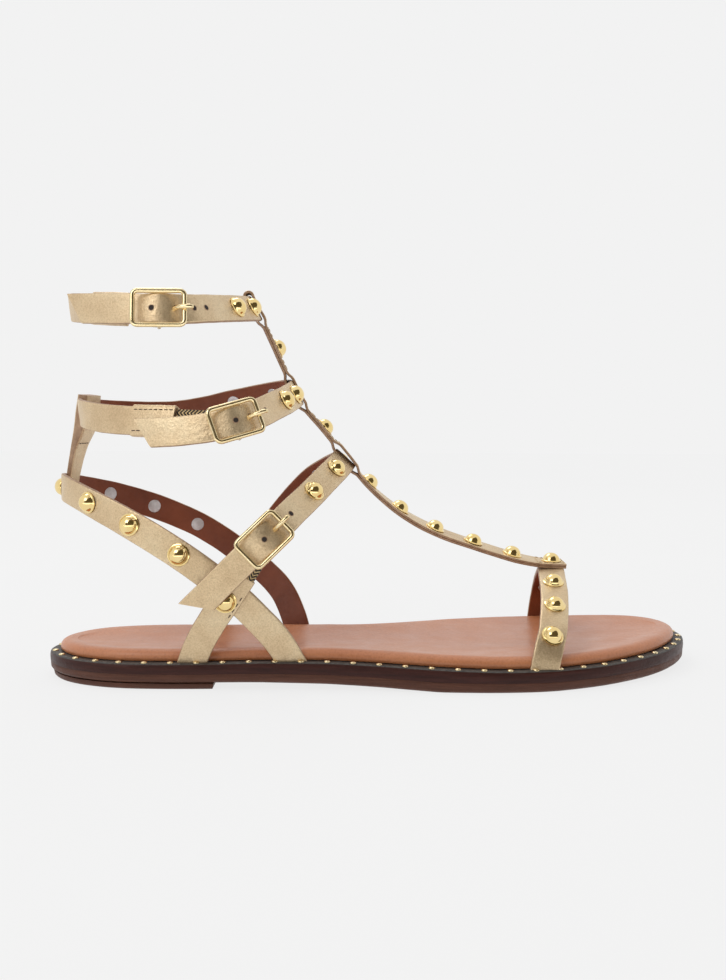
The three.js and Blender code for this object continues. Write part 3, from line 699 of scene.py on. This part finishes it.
def edge_drop(u):
    """How far a strap's face has rounded off near its edges, as a share of half its thickness."""
    over = max(0.0, (abs(u) - EDGE_START) / 0.1)
    return EDGE_ROUND * over * over


def band_ring(spot_at, length, share, tail, seed, ripple):
    """Ring of points round a band, and their UVs: outer face, edge, inner face, edge."""
    outer, inner, uvs = [], [], []
    for u in reversed(CROSSING):
        start = tail * (0.5 + 0.5 * u)
        here = start + (length - start) * share
        spot = spot_at(here)
        wave = noise.noise(Vector((here * RIPPLE_RATE, u * NOISE_ACROSS, seed * NOISE_SEED))) * ripple
        edge = noise.noise(Vector((here * WANDER_RATE, math.copysign(EDGE_SIDE, u), seed))) * ripple
        across = u * spot.width / 2 + edge * abs(u) ** EDGE_POWER
        face = spot.thick / 2 * (1 - edge_drop(u))
        outer.append(offset(spot, 0, across, face + wave))
        inner.append(offset(spot, 0, across, -face + wave))
        uvs.append((here, across))
    bulge = (outer[0] - outer[-1]).normalized() * EDGE_BULGE
    low = outer[-1].lerp(inner[-1], 0.5) - bulge
    high = outer[0].lerp(inner[0], 0.5) + bulge
    return outer + [low] + inner[::-1] + [high], uvs + [uvs[-1]] + uvs[::-1] + [uvs[0]]


def band_end(start, count, flip):
    """Faces that close one end of a band."""
    ring = 2 * count + 2
    faces = []
    for k in range(count - 1):
        faces.append((start + k, start + 2 * count - k, start + 2 * count - 1 - k, start + k + 1))
    faces.append((start + count - 1, start + count + 1, start + count))
    faces.append((start, start + ring - 1, start + ring - 2))
    return [face[::-1] for face in faces] if flip else faces


def band_mark(k, count):
    """0 on the gold face, 1 on the painted edge, 2 on the lining, by the ring's k-th side."""
    if 1 <= k < count - 2:
        return 0
    if count + 2 <= k < 2 * count - 1:
        return 2
    return 1


def band(
    name, spot_at, length, looks, nodes=("upper",), slot="gold_leather",
    ripple=RIPPLE, tail=0.0, seed=0, station=STATION,
):
    """Band with a frame at each length; tail is how much its start's upper edge is cut."""
    stations = max(2, round(length / station))
    count = len(CROSSING)
    ring = 2 * count + 2
    points, uvs = [], []
    for i in range(stations + 1):
        ring_points, ring_uvs = band_ring(spot_at, length, i / stations, tail, seed, ripple)
        points += ring_points
        uvs += ring_uvs
    faces = quads(0, ring, stations + 1)
    marks = [band_mark(k, count) for k in range(ring)] * stations
    ends = band_end(0, count, False) + band_end(stations * ring, count, True)
    marks += [1] * len(ends)
    piece(name, mesh_of(name, points, faces + ends, marks, uvs), looks, nodes)


LEATHER = (GOLD, EDGE, LINING)


# The straps.

PASS = FRAME_LENGTH / 2 - 0.0012
PASS_LIFT = 0.0011


def buckle_length(strap):
    return strap.lengths[round(BUCKLE_SPOT / strap.STEP)]


def buckled(strap):
    """The strap's frame at a length, lifted in a small bulge between the sides of its buckle."""
    centre = buckle_length(strap)

    def spot_at(length):
        spot = strap.at(length)
        away = abs(length - centre)
        if away >= PASS:
            return spot
        lift = PASS_LIFT * math.cos(away / PASS * math.pi / 2) ** 2
        return spot._replace(place=spot.place + spot.out * lift)

    return spot_at


def plain_straps():
    for seed, name in enumerate(("toe_strap", "instep_tab", "heel_strap")):
        strap = STRAPS[name]
        band(name, strap.at, strap.length, LEATHER, seed=seed)
    strap = STRAPS["heel_tab"]
    band("heel_tab", strap.at, strap.length, (GOLD, EDGE, GOLD), seed=5)
    for seed, name in enumerate(("instep_strap", "mid_strap", "top_strap"), start=9):
        strap = STRAPS[name]
        nodes = (NODE_OF.get(name, "upper"),)
        band(name, buckled(strap), strap.length, LEATHER, nodes, tail=TAIL_SLANT, seed=seed)


LAYER_THICK = 0.00105
LOOP_LIFT = 0.0023
LOOP_HALF = 0.0052
LOOP_FALL = 0.0033
LOOP_TOP = 0.0021
INNER_MARGIN = 0.0003
LOOP_PLACES = (Row(-48.8, -1.8, 139.8), Row(-33, 1, 107.3), Row(-13.2, 3, 81.8))
LOOP_CENTRES = [STRAPS["t_strap"].length_near(row) for row in LOOP_PLACES]


def loop_opening(length):
    """How far the two layers of the front strap stand apart round the straps that they cross."""
    away = min(abs(length - centre) for centre in LOOP_CENTRES)
    share = limited((LOOP_HALF + LOOP_FALL - away) / LOOP_FALL)
    return LOOP_LIFT * share * share * (3 - 2 * share)


def layer_radius(length):
    """How far each layer's middle lies from the middle of the folded strap."""
    return (TSTRAP_THICK + loop_opening(length) - LAYER_THICK) / 2


def layer_at(strap, side, margin=0.0):
    """One of the two layers of a folded strap: side 1 is the outer layer, -1 the inner one."""

    def spot_at(length):
        length += LOOP_TOP
        spot = strap.at(length)
        place = spot.place + spot.out * side * layer_radius(length)
        return spot._replace(place=place, thick=LAYER_THICK, width=spot.width - margin)

    return spot_at


def fold_over(strap):
    """Small rolled cap that joins the two layers at the top of a folded strap."""
    top = strap.at(LOOP_TOP)
    radius = layer_radius(LOOP_TOP)
    length = math.pi * radius

    def spot_at(here):
        turn = here / radius - math.pi / 2
        out = (top.out * math.sin(turn) - top.run * math.cos(turn)).normalized()
        run = (top.out * math.cos(turn) + top.run * math.sin(turn)).normalized()
        return Spot(top.place + out * radius, run, run.cross(out), out, LAYER_THICK, top.width)

    return spot_at, length


def t_strap():
    """Front strap: sewn from two layers that open in loops round the crossing straps."""
    strap = STRAPS["t_strap"]
    length = strap.length - LOOP_TOP
    fold, fold_length = fold_over(strap)
    face = (GOLD, EDGE, EDGE)
    back = (LINING, EDGE, LINING)
    band("t_strap_outer", layer_at(strap, 1), length, face, seed=21)
    band("t_strap_inner", layer_at(strap, -1, INNER_MARGIN), length, back, seed=22)
    band("t_strap_fold", fold, fold_length, face, seed=23, station=STATION / 4)


# Studs, rivets, holes.

TILT = 0.03
STUD_SUNK = 0.0003
DOME = (
    (0.00395, 0.0), (0.00402, 0.00012), (0.00398, 0.0003), (0.0038, 0.00038), (0.00356, 0.00042),
    (0.0034, 0.0006), (0.00328, 0.00105), (0.00306, 0.00155), (0.00275, 0.002), (0.00232, 0.00244),
    (0.00182, 0.00278), (0.00124, 0.00304), (0.00062, 0.00318), (0.0002, 0.00321),
)
RIVET = ((0.00262, -0.0001), (0.00266, 0.00012), (0.00252, 0.00028), (0.0018, 0.00036), (0.0004, 0.0004))


def stud_spots():
    for name, rows in STUDS.items():
        strap = STRAPS[name]
        for row in rows:
            yield name, strap.at(strap.length_near(Row(*row)))


def studs():
    for i, (_, spot) in enumerate(stud_spots(), start=1):
        heap = Heap()
        axis = spot.out + spot.run * rng.uniform(-TILT, TILT) + spot.wide * rng.uniform(-TILT, TILT)
        base = offset(spot, outward=spot.thick / 2 + STUD_LIFT - STUD_SUNK)
        heap.turned(base, axis.normalized(), spot.run, DOME, 32)
        heap.finish(f"dome_{i:02d}", BRIGHT, "gold_metal", (f"stud_{i:02d}",), smooth=50)


def rivets():
    """Flat heads that show on the lining behind the studs."""
    heap = Heap()
    for name, spot in stud_spots():
        if name != "t_strap":
            heap.turned(offset(spot, outward=-spot.thick / 2), -spot.out, spot.run, RIVET, 20)
    heap.finish("rivet_heads", STEEL, "gold_metal")


# Punched holes on each buckled strap, as distances from the buckle's centre towards the toe.
HOLES = {
    "top_strap": (-0.0020, 0.0050, 0.0120, 0.0180),
    "mid_strap": (0.0, 0.0056, 0.0140),
    "instep_strap": (0.0, 0.0056, 0.0145),
}
HOLE_LIP = ((0.00105, -0.00002), (0.00112, 0.00003), (0.001, 0.00006), (0.00086, 0.00003))
HOLE_CUP = ((0.00088, 0.00001), (0.0006, 0.00003), (0.0001, 0.00003))
HOLE_RISE = 0.00006


# Each punched hole is a tan lip round a near-black disc on both faces of the strap; the disc is painted
# shade standing for the dark inside of the hole.
def punched_holes():
    shade_cups, lips = Heap(), Heap()
    for name, places in HOLES.items():
        strap = STRAPS[name]
        spot_at = buckled(strap)
        for away in places:
            spot = spot_at(buckle_length(strap) + away)
            for axis in (spot.out, -spot.out):
                face = spot.place + axis * spot.thick / 2
                lips.turned(face, axis, spot.run, HOLE_LIP, 16)
                shade_cups.turned(face + axis * HOLE_RISE, axis, spot.run, HOLE_CUP, 16)
    lips.finish("hole_lips", EDGE, "gold_leather")
    shade_cups.finish("hole_shade_cups", HOLE_SHADE, "gold_leather")


# Buckles, elastics, covers.

CORNER = 0.0017
WIRE = 0.00086
WIRE_FLAT = 0.95
BAR_RADIUS = 0.00072
PRONG_RADIUS = 0.00082
PRONG_WRAP = 0.0011
PRONG_WRAP_WIRE = 0.0007
# Half of the bar's line with its post, from the frame inward: across the strap and outward.
BAR_END = FRAME_WIDTH / 2 - WIRE
BAR_LINE = (
    (-BAR_END, FRAME_OFFSET), (-BAR_END, -0.001), (-BAR_END + 0.0006, BAR_OFFSET + 0.0006),
    (-BAR_END + 0.0016, BAR_OFFSET),
)
# The prong's line, from the bar through the strap to its tip: along the strap and outward.
PRONG_LINE = (
    (0.0006, -0.0035), (0.0026, -0.0022), (0.0044, -0.0004), (0.0056, 0.0014), (0.0068, 0.0026),
    (0.0082, 0.0033), (0.0095, 0.0036), (0.0106, 0.0035), (0.0112, 0.0030),
)


def frame_line(spot, length, width):
    """Rounded rectangle of the buckle's wire."""
    line = []
    for sx, sy, start in ((1, 1, 0), (-1, 1, 90), (-1, -1, 180), (1, -1, 270)):
        for step in range(0, 91, 15):
            turn = math.radians(start + step)
            run = sx * (length / 2 - CORNER) + CORNER * math.cos(turn)
            across = sy * (width / 2 - CORNER) + CORNER * math.sin(turn)
            line.append(offset(spot, run, across, FRAME_OFFSET))
    return dense(line)


def dense(line, step=0.0015):
    """A closed line with extra points on its long straight sides."""
    made = []
    for a, b in zip(line, line[1:] + line[:1]):
        parts = max(1, round((b - a).length / step))
        made += [a.lerp(b, i / parts) for i in range(parts)]
    return made


def buckle_frame(heap, spot):
    line = frame_line(spot, FRAME_LENGTH - 2 * WIRE, FRAME_WIDTH - 2 * WIRE)
    heap.tube(line, spot.out, WIRE, WIRE_FLAT, 12, True)


def buckle_bar(heap, spot):
    line = BAR_LINE + tuple((-across, out) for across, out in reversed(BAR_LINE))
    heap.tube([offset(spot, 0, across, out) for across, out in line], spot.run, BAR_RADIUS)


def buckle_prong(heap, spot):
    """Prong and the eye that holds it on the bar."""
    line = [offset(spot, run, 0, out) for run, out in smooth_line(PRONG_LINE)]
    heap.tube(line, spot.wide, PRONG_RADIUS, sides=12)
    centre = offset(spot, outward=BAR_OFFSET)
    eye = circle(centre, spot.run * PRONG_WRAP, spot.out * PRONG_WRAP, 16)
    heap.tube(eye, spot.wide, PRONG_WRAP_WIRE, 1.1, 8, True)


def buckles():
    for name, (outer, _) in BUCKLES.items():
        spot = STRAPS[outer].at_spot(BUCKLE_SPOT)
        for build in (buckle_frame, buckle_bar, buckle_prong):
            heap = Heap()
            build(heap, spot)
            heap.finish(f"{build.__name__}_{name}", PALE_GOLD, "gold_metal", (f"buckle_{name}",), smooth=60)


def smooth_line(pairs, parts=4):
    vectors = [Vector(pair) for pair in pairs]
    return [along(vectors, i / parts) for i in range((len(pairs) - 1) * parts + 1)]


def free_band(places, outs):
    """The frame at a length along a band through places with an outward direction at each."""
    lengths = [0.0]
    for a, b in zip(places, places[1:]):
        lengths.append(lengths[-1] + (b - a).length)

    def spot_at(length):
        i = min(max(bisect.bisect_right(lengths, length) - 1, 0), len(places) - 2)
        share = i + (length - lengths[i]) / (lengths[i + 1] - lengths[i])
        ahead = along(places, min(share + 0.1, len(places) - 1))
        run = (ahead - along(places, max(share - 0.1, 0))).normalized()
        out = along(outs, share)
        out = (out - run * out.dot(run)).normalized()
        return Spot(along(places, share), run, run.cross(out), out, ELASTIC_THICK, ELASTIC_WIDTH)

    return spot_at, lengths[-1]


COVER_LENGTH = 0.0165
COVER_SKIN = 0.0008
COVER_MARGIN = 0.001
COVER_SWELL = 0.0003
ELASTIC_WIDTH = 0.0092
ELASTIC_THICK = 0.001
ELASTIC_TURN = 0.0018
ELASTIC_TUCK = 0.004
ELASTIC_RIPPLE = 0.00005
# Where the elastic comes to the bar and where it ends behind it: along, across and outward.
OVER_BAR = (-0.0012, 0, BAR_OFFSET + 0.0017)
BEHIND_BAR = (-0.0025, 0, BAR_OFFSET - 0.0015)


def elastic(name, end, spot):
    """Elastic from a strap's inner end round the buckle's bar."""
    bar = offset(spot, outward=BAR_OFFSET)
    start = offset(end, -ELASTIC_TUCK)
    places = [start, start.lerp(bar, 0.35), start.lerp(bar, 0.7), offset(spot, *OVER_BAR)]
    outs = [end.out, end.out.lerp(spot.out, 0.3), end.out.lerp(spot.out, 0.7), spot.out]
    for angle in (60, 30, 0, -30, -60, -90):
        turn = math.radians(angle)
        out = spot.run * math.cos(turn) + spot.out * math.sin(turn)
        places.append(bar + out * ELASTIC_TURN)
        outs.append(out)
    places.append(offset(spot, *BEHIND_BAR))
    outs.append(-spot.out)
    spot_at, length = free_band(places, outs)
    nodes = (f"elastic_{name}",)
    options = {"slot": "woven_elastic", "ripple": ELASTIC_RIPPLE, "station": STATION / 2}
    band(f"elastic_band_{name}", spot_at, length, (ELASTIC,) * 3, nodes, **options)


def inner_ends():
    """Elastic round each buckle's bar, and the gold cover sewn over the strap's end behind it."""
    stitches = Heap()
    for name, (outer, inner) in BUCKLES.items():
        strap = STRAPS[inner]
        elastic(name, strap.at(strap.length), STRAPS[outer].at_spot(BUCKLE_SPOT))
        if name != "instep":
            cover(name, strap, stitches)
    tab_stitches(stitches)
    stitches.finish("cover_stitches", BROWN_THREAD, "gold_leather")


def cover(name, strap, stitches):
    start = strap.length - COVER_LENGTH

    def spot_at(here):
        spot = strap.at(start + here)
        swell = COVER_SWELL * math.sin(math.pi * min(here / COVER_LENGTH, 1))
        return spot._replace(thick=STRAP_THICK + 2 * COVER_SKIN + swell, width=STRAP_WIDTH + COVER_MARGIN)

    nodes = (NODE_OF[f"{name}_strap"],)
    band(f"cover_{name}", spot_at, COVER_LENGTH, (GOLD,) * 3, nodes, seed=31)
    for side in (-1, 1):
        for place in COVER_ROW:
            for face in (1, -1):
                stitch(stitches, spot_at(place), side * COVER_EDGE, face)


STITCH_LENGTH = 0.0013
STITCH_RADIUS = 0.00017
STITCH_ARCH = 0.0001
STITCH_GAP = 0.0021
STITCH_EDGE = 0.0041
# A stitch's line: share of its length, share of its arch.
STITCH_LINE = ((-1 / 2, -1), (-1 / 3, 0.4), (0, 1), (1 / 3, 0.4), (1 / 2, -1))
TAB_ROW_CENTRE = Row(-55.4, -48, 32.4)
HEEL_TAB_ROW = Row(-116.5, -0.8, 87.6)
T_STRAP_ROWS = (
    rows_of(Row, (-44, -1, 131), (-37.5, 0.4, 117)),
    rows_of(Row, (-26.2, 1.8, 97.8), (-17.8, 2.6, 87.6)),
    rows_of(Row, (64.8, 7.2, 39.9), (73.8, 7.5, 39.2)),
)


def evenly(first, step, count):
    return [first + i * step for i in range(count)]


# Places of the threads: along a cover and a tab, across the heel tab and the front strap.
COVER_ROW = evenly(0.0012, 0.002, 8)
COVER_EDGE = STRAP_WIDTH / 2 - 0.0013
TAB_ROW = evenly(-0.0036, 0.0024, 4)
HEEL_ROW = evenly(-0.003, 0.002, 4)
FRONT_ROW = evenly(-0.0031, 0.00207, 4)
ROW_GAP = 0.001


def stitch(heap, spot, across, face=1, turned=False):
    """One thread loop lying on a strap's outer (1) or inner (-1) face."""
    axis, side = (spot.wide, spot.run) if turned else (spot.run, spot.wide)
    base = offset(spot, 0, across, face * (spot.thick / 2 + 0.4 * STITCH_ARCH))
    arch = spot.out * face * STITCH_ARCH
    line = [base + axis * STITCH_LENGTH * share + arch * rise for share, rise in STITCH_LINE]
    heap.tube(line, side, STITCH_RADIUS, sides=6)


def tab_stitches(heap):
    """Short dark rows on the lower instep tab and on the heel tab where it is sewn to its loop."""
    tab = STRAPS["instep_tab"]
    centre = tab.length_near(TAB_ROW_CENTRE)
    for side in (-1, 1):
        for place in TAB_ROW:
            stitch(heap, tab.at(centre + place), side * STITCH_EDGE)
    heel = STRAPS["heel_tab"]
    row = heel.at(heel.length_near(HEEL_TAB_ROW))
    for across in HEEL_ROW:
        for face in (1, -1):
            stitch(heap, row, across, face, True)


def t_strap_stitches():
    """Rows along both edges of the front strap and across it beside each loop."""
    heap = Heap()
    strap = STRAPS["t_strap"]
    outer = layer_at(strap, 1)
    for ends in T_STRAP_ROWS:
        a, b = (strap.length_near(row) - LOOP_TOP for row in ends)
        count = round((b - a) / STITCH_GAP)
        for i in range(count + 1):
            spot = outer(a + (b - a) * i / count)
            for side in (-1, 1):
                stitch(heap, spot, side * STITCH_EDGE)
        for edge in (a - ROW_GAP, b + ROW_GAP):
            for across in FRONT_ROW:
                stitch(heap, outer(edge), across, 1, True)
    heap.finish("t_strap_stitches", GOLD_THREAD, "gold_leather")


# The sole.


def profile_at(x, key):
    xs = [row.x * MM for row in PROFILE]
    i = min(max(bisect.bisect_right(xs, x) - 1, 0), len(PROFILE) - 2)
    share = limited((x - xs[i]) / (xs[i + 1] - xs[i]))
    low, high = (getattr(row, key) * MM for row in PROFILE[i:i + 2])
    return low * (1 - share) + high * share


def ground(x):
    return profile_at(x, "ground")


def welt(x):
    return profile_at(x, "welt")


def seam(x):
    return ground(x) + (welt(x) - ground(x)) * SEAM_SHARE


def outline_points(parts=4):
    """Sole outline as a closed ring: heel tip, inner side, toe tip, outer side."""
    loop = [HEEL_TIP] + [Vector((row.x, row.medial)) * MM for row in OUTLINE] + [TOE_TIP]
    loop += [Vector((row.x, row.lateral)) * MM for row in reversed(OUTLINE)]
    count = len(loop)
    points = []
    for i in range(count):
        a, b, c, d = (loop[(i + k) % count] for k in (-1, 0, 1, 2))
        points += [curve_through(a, b, c, d, k / parts) for k in range(parts)]
    return points


def inset_ring(layer, parts=4):
    points = outline_points(parts)
    ring = []
    for i, p in enumerate(points):
        run = (points[(i + 1) % len(points)] - points[i - 1]).normalized()
        x, y = p.x + run.y * layer.inset, p.y - run.x * layer.inset
        ring.append(Vector((x, y, layer.base(p.x) + layer.rise)) + SHIFT)
    return ring


def sole_layer(name, stack, marks=None, across=1, sink=None):
    """Closed layer from stacked rings; marks give each wall's material, and sink lowers the top."""
    rings = [inset_ring(Ring(*layer)) for layer in stack]
    marks = marks or [0] * (len(rings) - 1)
    count = len(rings[0])
    half = count // 2
    points = [p for ring in rings for p in ring]
    faces = quads(0, count, len(rings))
    kinds = [mark for mark in marks for _ in range(count)]
    for r, flip, mark in ((0, True, marks[0]), (len(rings) - 1, False, marks[-1])):
        rows = []
        for k in range(1, half):
            row = [r * count + k]
            for s in range(1, across):
                spot = rings[r][k].lerp(rings[r][count - k], s / across)
                if sink and not flip:
                    spot.z -= sink(s / across, k, half)
                points.append(spot)
                row.append(len(points) - 1)
            rows.append(row + [r * count + count - k])
        caps = []
        for s in range(across):
            caps.append((r * count, rows[0][s], rows[0][s + 1]))
            caps.append((r * count + half, rows[-1][s + 1], rows[-1][s]))
            for a, b in zip(rows, rows[1:]):
                caps.append((a[s], b[s], b[s + 1], a[s + 1]))
        faces += [face if flip else face[::-1] for face in caps]
        kinds += [mark] * len(caps)
    return mesh_of(name, points, faces, kinds)


FOOTBED_SINK = 0.0014
FOOTBED_WAVE = 0.00012
SINK_RUN_IN = 12


def footbed_sink(share, k, half):
    """The padded footbed dips along its middle and is gently uneven."""
    near_end = min(1, k / SINK_RUN_IN, (half - k) / SINK_RUN_IN)
    wave = FOOTBED_WAVE * noise.noise(Vector((share * 5, k * 0.11, 2)))
    return FOOTBED_SINK * 4 * share * (1 - share) * near_end + wave


def footbed():
    stack = [
        (0.0042, welt, 0.0003), (0.0039, welt, 0.0009), (0.0038, welt, 0.0016),
        (0.0040, welt, 0.0025), (0.0046, welt, 0.0033), (0.0055, welt, 0.0039),
        (0.0067, welt, 0.0042), (0.0082, welt, 0.0041), (0.0100, welt, 0.0039),
    ]
    mesh = sole_layer("footbed", stack, None, 24, footbed_sink)
    piece("footbed", mesh, (FOOTBED,), ("insole",), smooth=70)


def welt_layer():
    stack = [
        (0.0002, seam, 0), (0.0, seam, 0.0003), (-0.0001, seam, 0.0018),
        (0.0, welt, -0.0008), (0.0002, welt, -0.0003), (0.0007, welt, 0),
        (0.0011, welt, 0.0001), (0.0042, welt, 0.0001), (0.0052, welt, -0.0002),
    ]
    mesh = sole_layer("welt", stack, [0, 0, 0, 0, 1, 1, 1, 1])
    piece("welt", mesh, (WELT_SIDE, WELT_TOP), ("midsole",), smooth=50)


def sole_layers():
    stack = [
        (0.0022, ground, 0), (0.0013, ground, 0.0001), (0.0006, ground, 0.0006),
        (0.0002, ground, 0.0012), (0.0001, seam, -0.0004), (0.0002, seam, -0.00002),
    ]
    mesh = sole_layer("sole_bottom", stack)
    piece("sole_bottom", mesh, (STACK,), ("outsole",), smooth=50)
    heel = [
        (0.0026, ground, -0.0025), (0.0020, ground, -0.0023), (0.0015, ground, -0.0018),
        (0.0012, ground, -0.0006), (0.0014, ground, -0.0003),
    ]
    mesh = sole_layer("heel_block", heel)
    cut_heel(mesh)
    piece("heel_block", mesh, (STACK,), ("heel_lift",), smooth=50)


def cut_heel(mesh):
    """Keeps the heel block behind its slanted breast."""
    work = bmesh.new()
    work.from_mesh(mesh)
    edge = Vector((HEEL_BREAST_X, 0, HEEL_HEIGHT)) + SHIFT
    everything = work.verts[:] + work.edges[:] + work.faces[:]
    plane = {"plane_co": edge, "plane_no": HEEL_BREAST_FACE}
    cut = bmesh.ops.bisect_plane(work, geom=everything, clear_outer=True, **plane)
    rim = [e for e in cut["geom_cut"] if isinstance(e, bmesh.types.BMEdge)]
    bmesh.ops.contextual_create(work, geom=rim)
    work.to_mesh(mesh)
    work.free()


PIN_SPACING = 0.0093
PIN_INSET = 0.0019
PIN = ((0.00118, -0.0001), (0.0012, 0.00012), (0.00106, 0.00034), (0.0007, 0.0005), (0.0002, 0.00056))


def welt_pins():
    """Small gilt pins all round the welt."""
    heap = Heap()
    ring = inset_ring(Ring(PIN_INSET, welt, 0.0001), 12)
    travelled, due = 0.0, PIN_SPACING / 2
    for a, b in zip(ring, ring[1:] + ring[:1]):
        step = (b - a).length
        if travelled + step >= due:
            place = a.lerp(b, (due - travelled) / step)
            heap.turned(place, Vector((0, 0, 1)), Vector((1, 0, 0)), PIN, 12)
            due += PIN_SPACING
        travelled += step
    heap.finish("welt_pins", PALE_GOLD, "gold_metal")


# Studio.

CAMERA_PLACE = Vector((-0.01635, -0.42120, 0.08977))
CAMERA_TURN = (87.1955, -0.2628, -1.3689)
LENS = 53.0
BACKGROUND = (0.888, 0.888, 0.888)
FLOOR_SIZE = 6.0
DARK = (0.045, 0.036, 0.02)
GLOW = (1.0, 0.98, 0.94)
FLAG_TURN = math.radians(38)
FLAG_RISE = math.radians(42)


def sheet(name, centre, across, up, look):
    corners = [centre + across * a + up * b for a, b in ((-1, -1), (1, -1), (1, 1), (-1, 1))]
    mesh = mesh_of(name, corners, [(0, 1, 2, 3)])
    mesh.materials.append(look.material)
    board = added(name, mesh)
    return board


def card(name, centre, across, up, colour, strength, lit=True):
    """Board out of the camera's sight; unless lit it shows in mirror-like reflections only."""
    tone = (*colour, 1)
    look = Look(name, Roughness=1.0, Base_Color=tone, Emission_Color=tone, Emission_Strength=strength)
    board = sheet(name, centre, across, up, look)
    board.visible_camera = False
    board.visible_diffuse = lit
    board.visible_shadow = lit


def area_light(name, place, target, size, power):
    data = bpy.data.lights.new(name, "AREA")
    data.shape = "RECTANGLE"
    data.size, data.size_y = size
    data.energy = power
    light = added(name, data)
    light.location = place
    light.rotation_euler = (Vector(target) - Vector(place)).to_track_quat("-Z", "Y").to_euler()


def studio():
    world = bpy.data.worlds.new("studio_air")
    bpy.context.scene.world = world
    world.use_nodes = True
    air = world.node_tree.nodes["Background"]
    air.inputs["Color"].default_value = (*BACKGROUND, 1)
    air.inputs["Strength"].default_value = 1.0
    wide, deep, high = Vector((1, 0, 0)), Vector((0, 1, 0)), Vector((0, 0, 1))
    sheet("floor", Vector(), wide * FLOOR_SIZE, deep * FLOOR_SIZE, pale_floor())
    card("dark_board", Vector((0.25, -0.8, 0.5)), wide * 0.95, high * 0.43, DARK, 1.0)
    flag_across = Vector((math.cos(FLAG_TURN), math.sin(FLAG_TURN), 0))
    flag_out = Vector((math.sin(FLAG_TURN), -math.cos(FLAG_TURN), 0))
    flag_up = high * math.cos(FLAG_RISE) - flag_out * math.sin(FLAG_RISE)
    flag_centre = flag_out * math.cos(FLAG_RISE) + high * math.sin(FLAG_RISE)
    card("dark_flag", flag_centre, flag_across * 0.5, flag_up * 0.42, DARK, 1.0, lit=False)
    card("front_glow", Vector((-0.05, -0.5, 0.002)), wide * 0.5, deep * 0.25, GLOW, 1.25, lit=False)
    area_light("key", (-0.42, -0.6, 0.6), (-0.03, 0, 0.06), (0.45, 0.45), 1.7)
    area_light("rim", (-0.3, 0.6, 1.1), (0, 0, 0.06), (0.6, 0.4), 2.5)


def camera():
    data = bpy.data.cameras.new("camera")
    data.lens = LENS
    data.sensor_fit = "HORIZONTAL"
    data.clip_start = 0.01
    made = added("camera", data)
    made.location = CAMERA_PLACE + SHIFT
    made.rotation_euler = Euler([math.radians(turn) for turn in CAMERA_TURN])
    bpy.context.scene.camera = made


plain_straps()
t_strap()
t_strap_stitches()
studs()
rivets()
punched_holes()
buckles()
inner_ends()
footbed()
welt_layer()
sole_layers()
welt_pins()
studio()
camera()
bpy.context.scene.view_settings.view_transform = "Standard"
